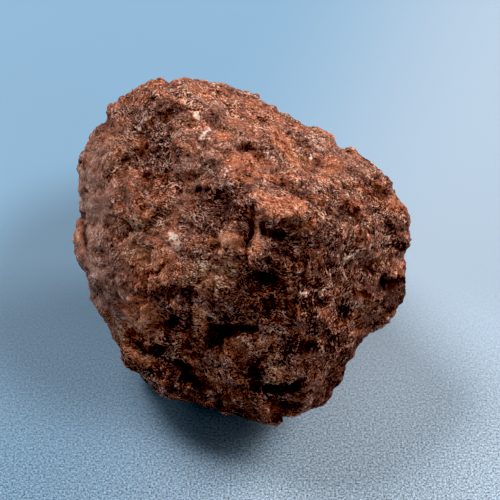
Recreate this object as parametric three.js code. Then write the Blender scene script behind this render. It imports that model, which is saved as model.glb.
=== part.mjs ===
// A weathered chondrite meteorite: one solid, broken stone, blocky and roughly six-sided in outline.
// Millimetres, +Z up. It rests on its flat underside, the plane z = 0, and the origin is the middle of its box there.
//
// The stone is described as it looks from its show side, from the front and above. A place on that side is given
// in millimetres across and up from the stone's heart. A direction is given by its turn (0 is right, 90 is up)
// and its lean (0 faces the viewer, 90 is edge-on, 180 is the far side).
import * as THREE from "three";
import { ImprovedNoise } from "three/addons/math/ImprovedNoise.js";
import { mergeVertices } from "three/addons/utils/BufferGeometryUtils.js";

// The stone's box
const width = 17;
const length = 20;
const height = 15;

// The show side's direction, in degrees
const showAzimuth = -25;
const showElevation = 50;

const heartHeight = 8.3; // how far the heart lies above the underside
const edgeSharpness = 22; // higher makes crisper edges between the broken faces
const meshDetail = 20; // each of an icosahedron's faces becomes (meshDetail + 1) squared triangles

// Every broken face: the way it faces and its distance from the heart
const faces = [
  // seen from the show side
  { name: "top", turn: 57, lean: 50, reach: 5.3 },
  { name: "left shoulder", turn: 170, lean: 33, reach: 4.9 },
  { name: "left flank", turn: 176, lean: 72, reach: 8.15 },
  { name: "upper left knob", turn: 125, lean: 55, reach: 7.8 },
  { name: "front", turn: 280, lean: 30, reach: 5.5 },
  { name: "right shoulder", turn: 350, lean: 45, reach: 5.8 },
  { name: "lower left", turn: 225, lean: 48, reach: 5.5 },
  { name: "lower right strip", turn: 326, lean: 70, reach: 7.5 },
  // the outline
  { name: "outline right corner", turn: 28, lean: 92, reach: 9.05 },
  { name: "outline upper right", turn: 62, lean: 92, reach: 7.2 },
  { name: "outline top", turn: 84, lean: 88, reach: 8.65 },
  { name: "outline top left", turn: 101, lean: 92, reach: 9.8 },
  { name: "outline upper left", turn: 128, lean: 92, reach: 10.4 },
  { name: "outline left corner", turn: 153, lean: 94, reach: 10.2 },
  { name: "outline left", turn: 177, lean: 98, reach: 8.55 },
  { name: "outline lower left", turn: 200, lean: 95, reach: 8.0 },
  { name: "outline bottom left", turn: 222, lean: 90, reach: 8.7 },
  { name: "outline bottom", turn: 254, lean: 88, reach: 8.6 },
  { name: "outline bottom tip", turn: 292, lean: 86, reach: 9.25 },
  { name: "outline lower right", turn: 328, lean: 90, reach: 8.15 },
  { name: "outline right", turn: 355, lean: 92, reach: 9.05 },
  // the far side
  { name: "underside", turn: 270, lean: 140, reach: 8.6 },
  { name: "low front", turn: 270, lean: 107, reach: 8.5 },
  { name: "back", turn: 90, lean: 125, reach: 11.8 },
  { name: "back left", turn: 140, lean: 132, reach: 12.2 },
  { name: "back right", turn: 20, lean: 128, reach: 8.4 },
  { name: "low left", turn: 205, lean: 128, reach: 8.8 },
  { name: "low right", turn: 325, lean: 125, reach: 8.2 },
  { name: "low back", turn: 80, lean: 165, reach: 9.6 },
];

// Hollows and swellings by place on the show side: half-sizes across and up, turned by spin, and how far they rise
const shownRelief = [
  { name: "shelf", at: [2.0, 2.1], half: [2.3, 0.9], spin: -5, rise: 0.55 },
  { name: "hollow under the shelf", at: [2.1, 0.5], half: [1.9, 0.95], spin: -6, rise: -0.85 },
  { name: "scoop right of the crease", at: [3.2, -1.4], half: [2.4, 1.9], spin: 20, rise: -0.55 },
  { name: "upright crease", at: [0.4, 0.9], half: [0.5, 2.2], spin: 4, rise: -0.45 },
  { name: "swelling left of the crease", at: [-1.0, 0.6], half: [1.4, 1.2], spin: 0, rise: 0.35 },
  { name: "dark saddle", at: [-0.9, 2.5], half: [0.9, 0.8], spin: 0, rise: -0.4 },
  { name: "middle hollow", at: [1.2, -1.6], half: [1.1, 0.7], spin: 0, rise: -0.6 },
  { name: "middle swelling", at: [1.2, -4.6], half: [1.9, 1.0], spin: -12, rise: 0.4 },
  { name: "deep pit", at: [-1.3, -4.2], half: [1.3, 0.9], spin: 35, rise: -0.9 },
  { name: "small pit", at: [-3.5, -3.7], half: [0.9, 0.7], spin: 0, rise: -0.6 },
  { name: "lip crack", at: [-4.4, -5.3], half: [2.3, 0.6], spin: -31, rise: -0.75 },
  { name: "lower left lip", at: [-4.9, -6.4], half: [2.3, 0.8], spin: -31, rise: 0.45 },
  { name: "pit below the lip", at: [-2.8, -6.4], half: [0.8, 1.0], spin: 20, rise: -0.7 },
  { name: "bottom nodule", at: [2.0, -6.2], half: [1.5, 0.8], spin: -8, rise: 0.6 },
  { name: "hollow under the nodule", at: [1.2, -7.3], half: [1.7, 0.65], spin: -8, rise: -0.65 },
  { name: "upper left hollow", at: [-3.7, 6.6], half: [1.5, 1.0], spin: 25, rise: -0.45 },
  { name: "upper left pit", at: [-5.2, 5.0], half: [1.0, 0.9], spin: 0, rise: -0.4 },
  { name: "top furrow", at: [0.2, 5.3], half: [2.2, 0.55], spin: -14, rise: -0.4 },
  { name: "top right furrow", at: [4.4, 4.3], half: [1.9, 0.5], spin: -22, rise: -0.35 },
  { name: "left furrow", at: [-5.9, 1.2], half: [0.7, 2.2], spin: 12, rise: -0.35 },
  { name: "right furrow", at: [5.6, -0.6], half: [0.6, 1.9], spin: -24, rise: -0.4 },
  { name: "right swelling", at: [6.2, -2.2], half: [1.0, 1.3], spin: 0, rise: 0.35 },
];

// The same by direction, for the outline and the far side
const turnedRelief = [
  { name: "top notch", turn: 113, lean: 84, half: [0.7, 0.9], spin: 0, rise: -0.45 },
  { name: "top left bump", turn: 118, lean: 87, half: [1.1, 1.3], spin: 0, rise: 0.35 },
  { name: "left lobe", turn: 176, lean: 98, half: [1.4, 1.7], spin: 0, rise: 0.7 },
  { name: "upper left dip", turn: 140, lean: 92, half: [1.2, 1.2], spin: 0, rise: -0.4 },
  { name: "left notch", turn: 168, lean: 96, half: [1.0, 0.8], spin: 0, rise: -0.5 },
  { name: "upper right swelling", turn: 34, lean: 92, half: [1.6, 1.6], spin: 0, rise: 0.35 },
  { name: "upper right bump", turn: 13, lean: 88, half: [0.9, 0.9], spin: 0, rise: 0.35 },
  { name: "right bump", turn: 2, lean: 90, half: [0.8, 0.8], spin: 0, rise: 0.15 },
  { name: "right notch", turn: 346, lean: 80, half: [1.0, 0.45], spin: 0, rise: -0.3 },
  { name: "lower right lump", turn: 342, lean: 92, half: [2.2, 1.9], spin: 0, rise: 0.8 },
  { name: "lower right hollow", turn: 322, lean: 90, half: [1.5, 1.3], spin: 0, rise: -0.5 },
  { name: "back hollow", turn: 95, lean: 118, half: [2.6, 1.6], spin: 20, rise: -0.8 },
  { name: "back ridge", turn: 70, lean: 108, half: [3.2, 0.8], spin: -12, rise: 0.5 },
  { name: "back left scoop", turn: 150, lean: 122, half: [1.8, 2.4], spin: 0, rise: -0.8 },
  { name: "back right scoop", turn: 25, lean: 118, half: [1.7, 2.0], spin: 30, rise: -0.7 },
  { name: "low left pit", turn: 200, lean: 118, half: [1.5, 1.1], spin: -20, rise: -0.7 },
  { name: "low right pit", turn: 330, lean: 112, half: [1.4, 1.2], spin: 15, rise: -0.6 },
];

// Flat chips broken off all over: how far apart they lie, how steeply they tilt and how high they rise
const chipLayers = [
  { size: 3.2, tilt: 0.13, rise: 0.07, sharpness: 7 },
  { size: 1.6, tilt: 0.22, rise: 0.06, sharpness: 7 },
];
const rimWander = 0.4; // how far the rims of hollows and swellings wander, mm
const wanderSize = 1.7;
const grainSize = 0.8;
const grainRise = 0.1;

const degrees = Math.PI / 180;
const perlin = new ImprovedNoise();

function showAxes() {
  const azimuth = showAzimuth * degrees;
  const elevation = showElevation * degrees;
  const across = new THREE.Vector3(Math.cos(azimuth), Math.sin(azimuth), 0);
  const toward = new THREE.Vector3(
    Math.sin(azimuth) * Math.cos(elevation),
    -Math.cos(azimuth) * Math.cos(elevation),
    Math.sin(elevation),
  );
  const up = new THREE.Vector3().crossVectors(toward, across);
  return { across, up, toward };
}

const show = showAxes();

function showPoint(across, up, toward) {
  return new THREE.Vector3()
    .addScaledVector(show.across, across)
    .addScaledVector(show.up, up)
    .addScaledVector(show.toward, toward);
}

function direction(turn, lean) {
  const sideways = Math.sin(lean * degrees);
  return showPoint(
    sideways * Math.cos(turn * degrees),
    sideways * Math.sin(turn * degrees),
    Math.cos(lean * degrees),
  );
}

for (const face of faces) face.normal = direction(face.turn, face.lean);

// Distance from the heart to the plain faceted body in a direction, with the edges between its faces rounded over
function bodyReach(way) {
  let sum = 0;
  for (const face of faces) {
    const share = way.dot(face.normal) / face.reach;
    if (share > 0) sum += share ** edgeSharpness;
  }
  return sum ** (-1 / edgeSharpness);
}

// The body's surface point that the show side has at a place across and up
function surfaceShown(across, up) {
  const steps = 30;
  let near = 0;
  let far = height;
  for (let step = 0; step < steps; step++) {
    const middle = (near + far) / 2;
    const point = showPoint(across, up, middle);
    const inside = point.length() < bodyReach(point.clone().normalize());
    if (inside) near = middle;
    else far = middle;
  }
  return showPoint(across, up, near);
}

// A hollow or swelling lies on the surface with its own two directions, both square to the line from the heart
function settle(relief, center) {
  const outward = center.clone().normalize();
  const leanOver = new THREE.Quaternion().setFromUnitVectors(show.toward, outward);
  const turn = new THREE.Quaternion().setFromAxisAngle(outward, relief.spin * degrees);
  const along = show.across.clone().applyQuaternion(leanOver).applyQuaternion(turn);
  const over = show.up.clone().applyQuaternion(leanOver).applyQuaternion(turn);
  return { ...relief, center, along, over, far: 1.3 * Math.max(...relief.half) };
}

const reliefs = [
  ...shownRelief.map((relief) => settle(relief, surfaceShown(...relief.at))),
  ...turnedRelief.map((relief) => {
    const way = direction(relief.turn, relief.lean);
    return settle(relief, way.multiplyScalar(bodyReach(way)));
  }),
];

// How far one hollow or swelling lifts a point: flat-bottomed, with a steep rim
function lift(relief, point) {
  const away = point.clone().sub(relief.center);
  if (away.length() > relief.far + rimWander) return 0;
  const across = away.dot(relief.along) / relief.half[0];
  const over = away.dot(relief.over) / relief.half[1];
  const inward = 1 - (across * across + over * over);
  return relief.rise * THREE.MathUtils.smoothstep(inward, -0.5, 0.8);
}

function wandered(point) {
  const { x, y, z } = point.clone().divideScalar(wanderSize);
  const shift = new THREE.Vector3(
    perlin.noise(x, y, z + 40),
    perlin.noise(x + 40, y, z),
    perlin.noise(x, y + 40, z),
  );
  return point.clone().addScaledVector(shift, rimWander);
}

// A repeatable number from 0 to 1 for a cell of a grid
function scatter(x, y, z, salt) {
  const swirl = Math.sin(x * 127.1 + y * 311.7 + z * 74.7 + salt * 53.3) * 43758.5453;
  return swirl - Math.floor(swirl);
}

// Every cell of a grid holds one chip, a tilted plane round a scattered middle; the nearest chips win
function chipRise(point, { size, tilt, rise, sharpness }) {
  const place = point.clone().divideScalar(size);
  const base = place.clone().floor();
  let total = 0;
  let weights = 0;
  for (let i = 0; i < 27; i++) {
    const x = base.x + (i % 3) - 1;
    const y = base.y + (Math.floor(i / 3) % 3) - 1;
    const z = base.z + Math.floor(i / 9) - 1;
    const away = new THREE.Vector3(
      place.x - x - scatter(x, y, z, 1),
      place.y - y - scatter(x, y, z, 2),
      place.z - z - scatter(x, y, z, 3),
    );
    const slope = new THREE.Vector3(
      scatter(x, y, z, 4) - 0.5,
      scatter(x, y, z, 5) - 0.5,
      scatter(x, y, z, 6) - 0.5,
    );
    const weight = Math.exp(-sharpness * away.lengthSq());
    total += weight * (2 * tilt * size * slope.dot(away) + rise * (2 * scatter(x, y, z, 7) - 1));
    weights += weight;
  }
  return total / weights;
}

function surfacePoint(way) {
  const point = way.clone().multiplyScalar(bodyReach(way));
  const loose = wandered(point);
  let rise = grainRise * perlin.noise(point.x / grainSize, point.y / grainSize, point.z / grainSize);
  for (const layer of chipLayers) rise += chipRise(point, layer);
  for (const relief of reliefs) rise += lift(relief, loose);
  return point.addScaledVector(way, rise);
}

function stoneGeometry() {
  const ball = new THREE.IcosahedronGeometry(1, meshDetail);
  ball.deleteAttribute("normal");
  ball.deleteAttribute("uv");
  const geometry = mergeVertices(ball, 1e-5);
  const position = geometry.attributes.position;
  const way = new THREE.Vector3();
  for (let i = 0; i < position.count; i++) {
    way.fromBufferAttribute(position, i).normalize();
    const point = surfacePoint(way);
    if (point.z < -heartHeight) point.multiplyScalar(-heartHeight / point.z); // flat where it rests
    position.setXYZ(i, point.x, point.y, point.z);
  }
  fitToBox(geometry);
  geometry.computeVertexNormals();
  return geometry;
}

// Brings the box to its exact size, with the origin under its middle
function fitToBox(geometry) {
  geometry.computeBoundingBox();
  const box = geometry.boundingBox;
  const middle = box.getCenter(new THREE.Vector3());
  const extent = box.getSize(new THREE.Vector3());
  geometry.translate(-middle.x, -middle.y, -box.min.z);
  geometry.scale(width / extent.x, length / extent.y, height / extent.z);
}

const stone = new THREE.Mesh(
  stoneGeometry(),
  new THREE.MeshStandardMaterial({ color: 0x6b4033, roughness: 0.85, metalness: 0.0 }),
);
stone.name = "stone";

const meteorite = new THREE.Group();
meteorite.add(stone);

export default meteorite;
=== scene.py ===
import itertools
import math

import bpy
import numpy as np
from mathutils import Matrix, Vector


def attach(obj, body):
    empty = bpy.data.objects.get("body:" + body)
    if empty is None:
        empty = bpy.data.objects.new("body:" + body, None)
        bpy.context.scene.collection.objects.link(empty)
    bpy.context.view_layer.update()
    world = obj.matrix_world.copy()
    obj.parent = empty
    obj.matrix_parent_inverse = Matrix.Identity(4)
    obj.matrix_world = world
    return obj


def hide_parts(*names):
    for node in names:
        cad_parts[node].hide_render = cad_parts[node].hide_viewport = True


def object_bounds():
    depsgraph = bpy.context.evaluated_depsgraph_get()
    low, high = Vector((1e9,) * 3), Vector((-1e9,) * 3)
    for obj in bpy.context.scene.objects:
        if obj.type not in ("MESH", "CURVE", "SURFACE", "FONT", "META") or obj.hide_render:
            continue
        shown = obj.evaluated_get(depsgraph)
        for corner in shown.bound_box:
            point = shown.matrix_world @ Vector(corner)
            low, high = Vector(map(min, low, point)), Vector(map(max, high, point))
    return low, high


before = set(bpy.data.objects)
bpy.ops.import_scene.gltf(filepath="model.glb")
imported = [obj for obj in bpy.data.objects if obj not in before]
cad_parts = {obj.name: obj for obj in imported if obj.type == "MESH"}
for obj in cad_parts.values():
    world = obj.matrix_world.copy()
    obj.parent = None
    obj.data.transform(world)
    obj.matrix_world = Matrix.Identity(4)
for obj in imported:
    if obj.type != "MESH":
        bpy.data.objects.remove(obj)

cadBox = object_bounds()
mm = 0.001
perMm = (1000, 1000, 1000)  # turns the metres that a material reads into mm

# the side the stone is shown from; places on it are given in mm across and up from the stone's heart
showSide = {
    "azimuth": -25,
    "elevation": 50,
    "heart": (-0.633, -2.117, 8.334),  # mm
    "distance": 144.7,  # mm from the camera to the heart
    "aside": 0.52,  # mm the camera stands to the right of the heart
    "lens": 200,
    "sensor": 36,
    "clip": 0.01,  # m
}

# towards is where a lamp stands, seen from the stone; distance and size are in mm
lamps = {
    "backRightSoftbox": {
        "towards": (0.88, 0.19, 0.42), "distance": 450, "size": 180,
        "power": 2.25, "color": (1.0, 0.97, 0.94),
    },
    "backLeftSoftbox": {
        "towards": (-0.22, 0.60, 0.77), "distance": 450, "size": 220,
        "power": 1.8, "color": (0.97, 0.98, 1.0),
    },
    "rightSoftbox": {
        "towards": (0.58, -0.27, 0.77), "distance": 450, "size": 260,
        "power": 0.3, "color": (1.0, 0.98, 0.96),
    },
    "leftCard": {
        "towards": (-0.82, 0.38, 0.42), "distance": 450, "size": 260,
        "power": 0.3, "color": (0.96, 0.98, 1.0),
    },
    "frontCard": {
        "towards": (0.15, -0.85, 0.5), "distance": 450, "size": 260,
        "power": 0.32, "color": (1.0, 0.97, 0.94),
    },
}
roomLight = {"color": (0.50, 0.78, 1.0), "strength": 0.03}

floorLook = {
    "size": 1.6,  # m
    # the floor is blue at the left, and a lighter, greyer blue at the right as a painted sheen of the lamps'
    # reflection
    "leftColor": (0.19, 0.34, 0.49),
    "rightColor": (0.36, 0.46, 0.565),
    "leftEnd": -8,  # mm across the floor, leaning so that the front counts as further right
    "rightEnd": 10,
    "lean": 0.35,
    "backEnd": 6,  # mm from the origin, where the speckle starts
    "frontEnd": -18,
    "speckle": 6.0,
    "grain": (9, 2, 0.8),  # specks to the mm, detail and roughness of their noise
    "roughness": 0.5,
    "paintedShadowsAndLight": (  # painted shadows of the stone and a painted pool of lamplight: middle, where they start to fade and end, and how light they are
        ((-6.5, 1.5), 6.0, 11.0, 0.63),
        ((-0.8, -6.8), 1.0, 3.4, 0.45),
        ((11.0, -5.5), 2.0, 8.5, 1.2),
    ),
}


def showAxes():
    azimuth = math.radians(showSide["azimuth"])
    elevation = math.radians(showSide["elevation"])
    across = Vector((math.cos(azimuth), math.sin(azimuth), 0))
    toward = Vector((
        math.sin(azimuth) * math.cos(elevation),
        -math.cos(azimuth) * math.cos(elevation),
        math.sin(elevation),
    ))
    return across, toward.cross(across), toward


across, up, toward = showAxes()
heart = Vector(showSide["heart"]) * mm
eye = heart + (across * showSide["aside"] + toward * showSide["distance"]) * mm


def nothingSelected():
    bpy.ops.object.select_all(action="DESELECT")


def pick(obj):
    nothingSelected()
    obj.select_set(True)
    bpy.context.view_layer.objects.active = obj


def placeCamera():
    turned = Matrix((across, up, toward)).transposed().to_euler()
    bpy.ops.object.camera_add(location=eye, rotation=turned)
    camera = bpy.context.object
    camera.name = "showCamera"
    camera.data.lens = showSide["lens"]
    camera.data.sensor_width = showSide["sensor"]
    camera.data.clip_start = showSide["clip"]
    bpy.context.scene.camera = camera
    print("camera placed")


def hangLamps():
    for name, lamp in lamps.items():
        way = Vector(lamp["towards"]).normalized()
        turned = way.to_track_quat("Z", "Y").to_euler()
        bpy.ops.object.light_add(type="AREA", location=heart + way * lamp["distance"] * mm, rotation=turned)
        light = bpy.context.object
        light.name = name
        light.data.shape = "DISK"
        light.data.size = lamp["size"] * mm
        light.data.energy = lamp["power"]
        light.data.color = lamp["color"]
    world = bpy.data.worlds.new("room")
    bpy.context.scene.world = world
    world.use_nodes = True
    background = world.node_tree.nodes["Background"]
    background.inputs["Color"].default_value = (*roomLight["color"], 1)
    background.inputs["Strength"].default_value = roomLight["strength"]
    print("lamps hung")


class NodeBench:  # short ways to add the nodes a material needs
    def __init__(self, material):
        material.use_nodes = True
        self.tree = material.node_tree
        self.shader = self.tree.nodes["Principled BSDF"]

    def feed(self, socket, value):
        if isinstance(value, bpy.types.NodeSocket):
            self.tree.links.new(value, socket)
        else:
            socket.default_value = value

    def node(self, kind, output, inputs, **settings):
        node = self.tree.nodes.new(kind)
        for key, value in settings.items():
            setattr(node, key, value)
        for key, value in inputs.items():
            self.feed(node.inputs[key], value)
        return node.outputs[output]

    def place(self, scale, turned=(0, 0, 0)):  # object coordinates, turned and times scale
        place = self.node("ShaderNodeTexCoord", "Object", {})
        return self.node("ShaderNodeMapping", "Vector", {"Vector": place, "Rotation": turned, "Scale": scale})

    def noise(self, place, scale, detail, rough=0.5, warp=0.0):
        wanted = {"Vector": place, "Scale": scale, "Detail": detail, "Roughness": rough, "Distortion": warp}
        return self.node("ShaderNodeTexNoise", "Fac", wanted)

    def math(self, operation, first, second=0.0, clamp=False):
        wanted = {0: first, 1: second}
        return self.node("ShaderNodeMath", "Value", wanted, operation=operation, use_clamp=clamp)

    def total(self, *terms, base=0.0, clamp=False):  # each term is (value, weight)
        result = base
        for value, weight in terms:
            result = self.math("ADD", self.math("MULTIPLY", value, weight), result)
        return self.math("ADD", result, clamp=True) if clamp else result

    def between(self, value, low, high, newLow=0.0, newHigh=1.0):  # smoothly from newLow to newHigh
        wanted = {"Value": value, "From Min": low, "From Max": high, "To Min": newLow, "To Max": newHigh}
        return self.node("ShaderNodeMapRange", "Result", wanted, interpolation_type="SMOOTHSTEP")

    def mixed(self, share, first, second):  # 6, 7 and 2 are the node's colour sockets
        wanted = {0: share, 6: first, 7: second}
        return self.node("ShaderNodeMix", 2, wanted, data_type="RGBA")

    def ramp(self, value, stops):
        node = self.tree.nodes.new("ShaderNodeValToRGB")
        self.feed(node.inputs["Fac"], value)
        while len(node.color_ramp.elements) < len(stops):
            node.color_ramp.elements.new(0.5)
        for element, (place, color) in zip(node.color_ramp.elements, stops):
            element.position = place
            element.color = (*color, 1)
        return node.outputs["Color"]


def floorMaterial():
    material = bpy.data.materials.new("paleBlueCard")
    bench = NodeBench(material)
    turned = math.radians(-showSide["azimuth"])
    place = bench.place(perMm, (0, 0, turned))
    split = bench.tree.nodes.new("ShaderNodeSeparateXYZ")
    bench.feed(split.inputs[0], place)
    # blue on the left, lighter and greyer on the right: a painted sheen of the lamps' reflection
    side = bench.total((split.outputs["X"], 1.0), (split.outputs["Y"], -floorLook["lean"]))
    side = bench.between(side, floorLook["leftEnd"], floorLook["rightEnd"])
    base = bench.mixed(side, (*floorLook["leftColor"], 1), (*floorLook["rightColor"], 1))
    weave = bench.math("SUBTRACT", bench.noise(place, *floorLook["grain"]), 0.5)
    ends = (floorLook["backEnd"], floorLook["frontEnd"])
    front = bench.between(split.outputs["Y"], *ends, 0.0, floorLook["speckle"])
    speckle = bench.math("ADD", bench.math("MULTIPLY", weave, front), 1.0)
    # painted shadows beside and under the stone, and a painted pool of light at the front right
    for middle, start, end, strength in floorLook["paintedShadowsAndLight"]:
        away = bench.node("ShaderNodeVectorMath", "Value", {0: place, 1: (*middle, 0)}, operation="DISTANCE")
        speckle = bench.math("MULTIPLY", speckle, bench.between(away, start, end, strength, 1.0))
    color = bench.node("ShaderNodeVectorMath", "Vector", {0: base, "Scale": speckle}, operation="SCALE")
    bench.feed(bench.shader.inputs["Base Color"], color)
    bench.shader.inputs["Roughness"].default_value = floorLook["roughness"]
    return material


def layFloor():
    nothingSelected()
    bpy.ops.mesh.primitive_plane_add(size=floorLook["size"])
    floor = bpy.context.object
    floor.name = "floor"
    floor.data.materials.append(floorMaterial())
    print("floor laid")


stoneShape = {
    "mergeWithin": 1e-6,  # m
    "bodyVoxel": 0.2,  # mm
    "carveVoxel": 0.14,
    "fineVoxel": 0.09,
    "bodySmooth": 2,  # rounds
    "fineSmooth": 1,
    "smoothing": 0.5,  # of each round
    "triangles": 196000,
    "foot": (0.02, 0.5),  # mm above the floor, below which nothing is moved and above which all of it is
    "rim": (0.6, 0.9),  # where the outline's rim starts and is full, as a share of the way from the heart
    "shadeDepth": 0.2,  # mm at which a dent's painted shade is as dark as it gets
}

# how soft the edges are: of ovals as a share of their size, and of outlines with corners in mm
softEdges = {"dent": 0.9, "handled": 0.8, "stain": 0.8, "gouge": 0.12, "stainArea": 0.09}

# where the surface starts to count as the show side, and where it does in full: 1 faces it and -1 is the back
shownFrom = {"cuts": (-0.25, 0.05), "stains": (-0.55, -0.05), "handled": (-0.1, 0.25), "pits": (-0.15, 0.2)}

# how many rounds of smoothing the broad shape under each of these takes
rounds = {"cuts": 25, "stains": 30, "pits": 12, "handled": 10, "relief": 40, "nick": 5, "hollow": 150}

# numbers that keep the noises apart
salts = {"bigChips": 5, "smallChips": 105, "seams": 80, "pits": 40, "handled": 63, "stains": 60}

# how the edges of dents and stains wander: size and depth in mm
wavers = (
    {"size": 0.6, "depth": 0.16, "salt": 11},
    {"size": 0.22, "depth": 0.096, "salt": 21},
)

# how the noises are made
noiseForm = {
    "shift": 31.7,  # keeps the grid of the soft noise off the origin
    "gain": 1.6,
    "chipShift": 57.3,
    "chipJitter": 0.45,  # how far a chip's middle strays from its cell's
    "primes": (73856093, 19349663, 83492791),
    "saltPrime": 40503001,
    "mixers": ((13, 1274126177), (15, 668265263)),
    "lastShift": 16,
    "layerStep": 20,  # between the salts of two layers of chips
}

# tilted chips all over: size in mm, tilt as a slope, rise in mm up or down, and how crisp their edges are
bigChips = (
    {"size": 1.9, "tilt": 0.18, "rise": 0.04, "crispness": 20},
)
smallChips = (
    {"size": 0.95, "tilt": 0.17, "rise": 0.02, "crispness": 26},
    {"size": 0.42, "tilt": 0.20, "rise": 0.012, "crispness": 24},
)

# thin sharp lines that run over the surface, raised or, where the height is negative, cut in: size and height
# in mm, how far they stretch along a direction, and how that is turned from the show side's across
seams = (
    {"size": 2.4, "stretch": 1.8, "turn": -18, "width": 0.10, "height": -0.08},
    {"size": 1.3, "stretch": 2.2, "turn": -25, "width": 0.16, "height": 0.045},
    {"size": 0.8, "stretch": 1.6, "turn": 40, "width": 0.18, "height": -0.045},
    {"size": 0.5, "stretch": 1.8, "turn": -30, "width": 0.22, "height": 0.03},
    {"size": 0.32, "stretch": 1.4, "turn": 20, "width": 0.25, "height": -0.025},
)

# grit pushed into the fine mesh: size and depth in mm
grit = {"basis": "IMPROVED_PERLIN", "size": 0.20, "depth": 0.06, "middle": 0.5, "layers": 1}

# places that handling has rubbed smoother, on the show side: place and half-size in mm, spin in degrees, and
# strength
handled = (
    ((-7.9, 0.8), (1.5, 5.2), 0, 0.8),
    ((-6.9, -2.2), (0.9, 2.4), 18, 0.6),
    ((2.0, 2.2), (1.3, 0.5), -3, 0.7),
    ((-4.6, 2.2), (1.6, 1.6), 0, 0.3),
    ((8.2, -2.6), (0.7, 0.7), 0, 0.6),
)
# and on every side where a soft noise runs high
handledPatches = {"size": 3.2, "from": 0.15, "to": 0.6, "strength": 0.45, "rounds": 5}

# pits and broken steps scattered where a soft noise runs high: size and depth in mm, how much of each is left
# on the show side, which has its own, and how dark its painted shade is inside
scatteredPits = (
    {"size": 1.5, "from": 0.45, "to": 0.95, "depth": 0.12, "shown": 1.0, "shade": 0},
    {"size": 2.5, "from": 0.32, "to": 0.62, "depth": 0.34, "shown": 0, "shade": 0.5},
    {"size": 3.4, "from": -0.06, "to": 0.06, "depth": 0.20, "shown": 0, "shade": 0},
    {"size": 1.6, "from": 0.22, "to": 0.34, "depth": 0.15, "shown": 0, "shade": 0.35},
    {"size": 0.9, "from": 0.42, "to": 0.60, "depth": 0.13, "shown": 0, "shade": 0.7},
)

# dents, and swellings where the depth is negative, on the show side: place and half-size in mm, spin in
# degrees, depth in mm, and how far the dent digs upward under what lies above it
dents = {
    "shelfBlock": ((1.9, -0.1), (0.8, 0.5), 0, 0.1, 0),
    "underShelfRight": ((2.6, 1.2), (0.7, 0.2), -6, 0.1, 0.04),
    "spotLow": ((4.3, -2.75), (0.4, 0.28), 0, 0.08, 0),
    "faintGroove": ((-5.4, -3.55), (0.45, 0.1), 36, 0.06, 0),
    "bowl": ((-4.1, -6.2), (0.6, 0.5), 0, 0.09, 0),
    "bowlRim": ((-3.35, -6.15), (0.18, 0.5), 10, -0.06, 0),
    "block": ((-2.78, -7.12), (0.33, 0.28), 10, -0.12, 0),
    "blockPit": ((-2.05, -6.92), (0.45, 0.22), 0, 0.14, 0),
    "nodule": ((1.9, -6.55), (0.9, 0.42), 4, -0.15, 0),
    "bumpGap": ((8.6, 0.05), (0.42, 0.14), 0, 0.11, 0),
    "bumpGapTop": ((8.65, 1.25), (0.35, 0.12), 0, 0.07, 0),
    "bumpTop": ((8.6, 1.75), (0.42, 0.42), 0, -0.08, 0),
    "bumpLow": ((8.72, 0.6), (0.36, 0.42), 0, -0.08, 0),
    "ledge": ((5.7, 2.92), (0.75, 0.22), 5, -0.06, 0),
    "topLine": ((-5.15, 6.0), (0.45, 0.1), -4, 0.07, 0),
    "ridgeLine": ((2.1, 6.3), (2.0, 0.13), -52, -0.04, 0),
    "ridgeShade": ((2.5, 6.5), (1.7, 0.14), -50, 0.04, 0),
    "humpGap": ((-0.6, 8.3), (0.4, 0.14), 0, 0.07, 0),
    "knobGap": ((-3.75, 8.75), (0.26, 0.3), 0, 0.1, 0),
    "saddlePit": ((-0.35, 2.4), (0.6, 0.7), -30, 0.11, 0),
    "saddleNickLow": ((-2.2, 3.15), (0.34, 0.24), 0, 0.07, 0),
    "flankNotch": ((-7.0, 6.75), (0.3, 0.45), 40, 0.22, 0),
    "flankCrease": ((-7.35, 5.0), (0.12, 1.3), -12, 0.12, 0),
    "lobeGap": ((-8.5, 1.75), (0.5, 0.22), -30, 0.3, 0),
    "lobeCrease": ((-8.15, 0.7), (0.12, 1.0), 12, 0.16, 0),
    "shelf": ((2.0, 2.05), (1.5, 0.42), -3, -0.09, 0),
    "creamRib": ((5.85, -0.25), (0.7, 0.12), 35, -0.05, 0),
    "paleRib": ((3.6, -2.1), (0.65, 0.11), 8, -0.05, 0),
    "fineRib": ((5.55, -1.8), (0.8, 0.08), 62, -0.03, 0),
}

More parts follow.
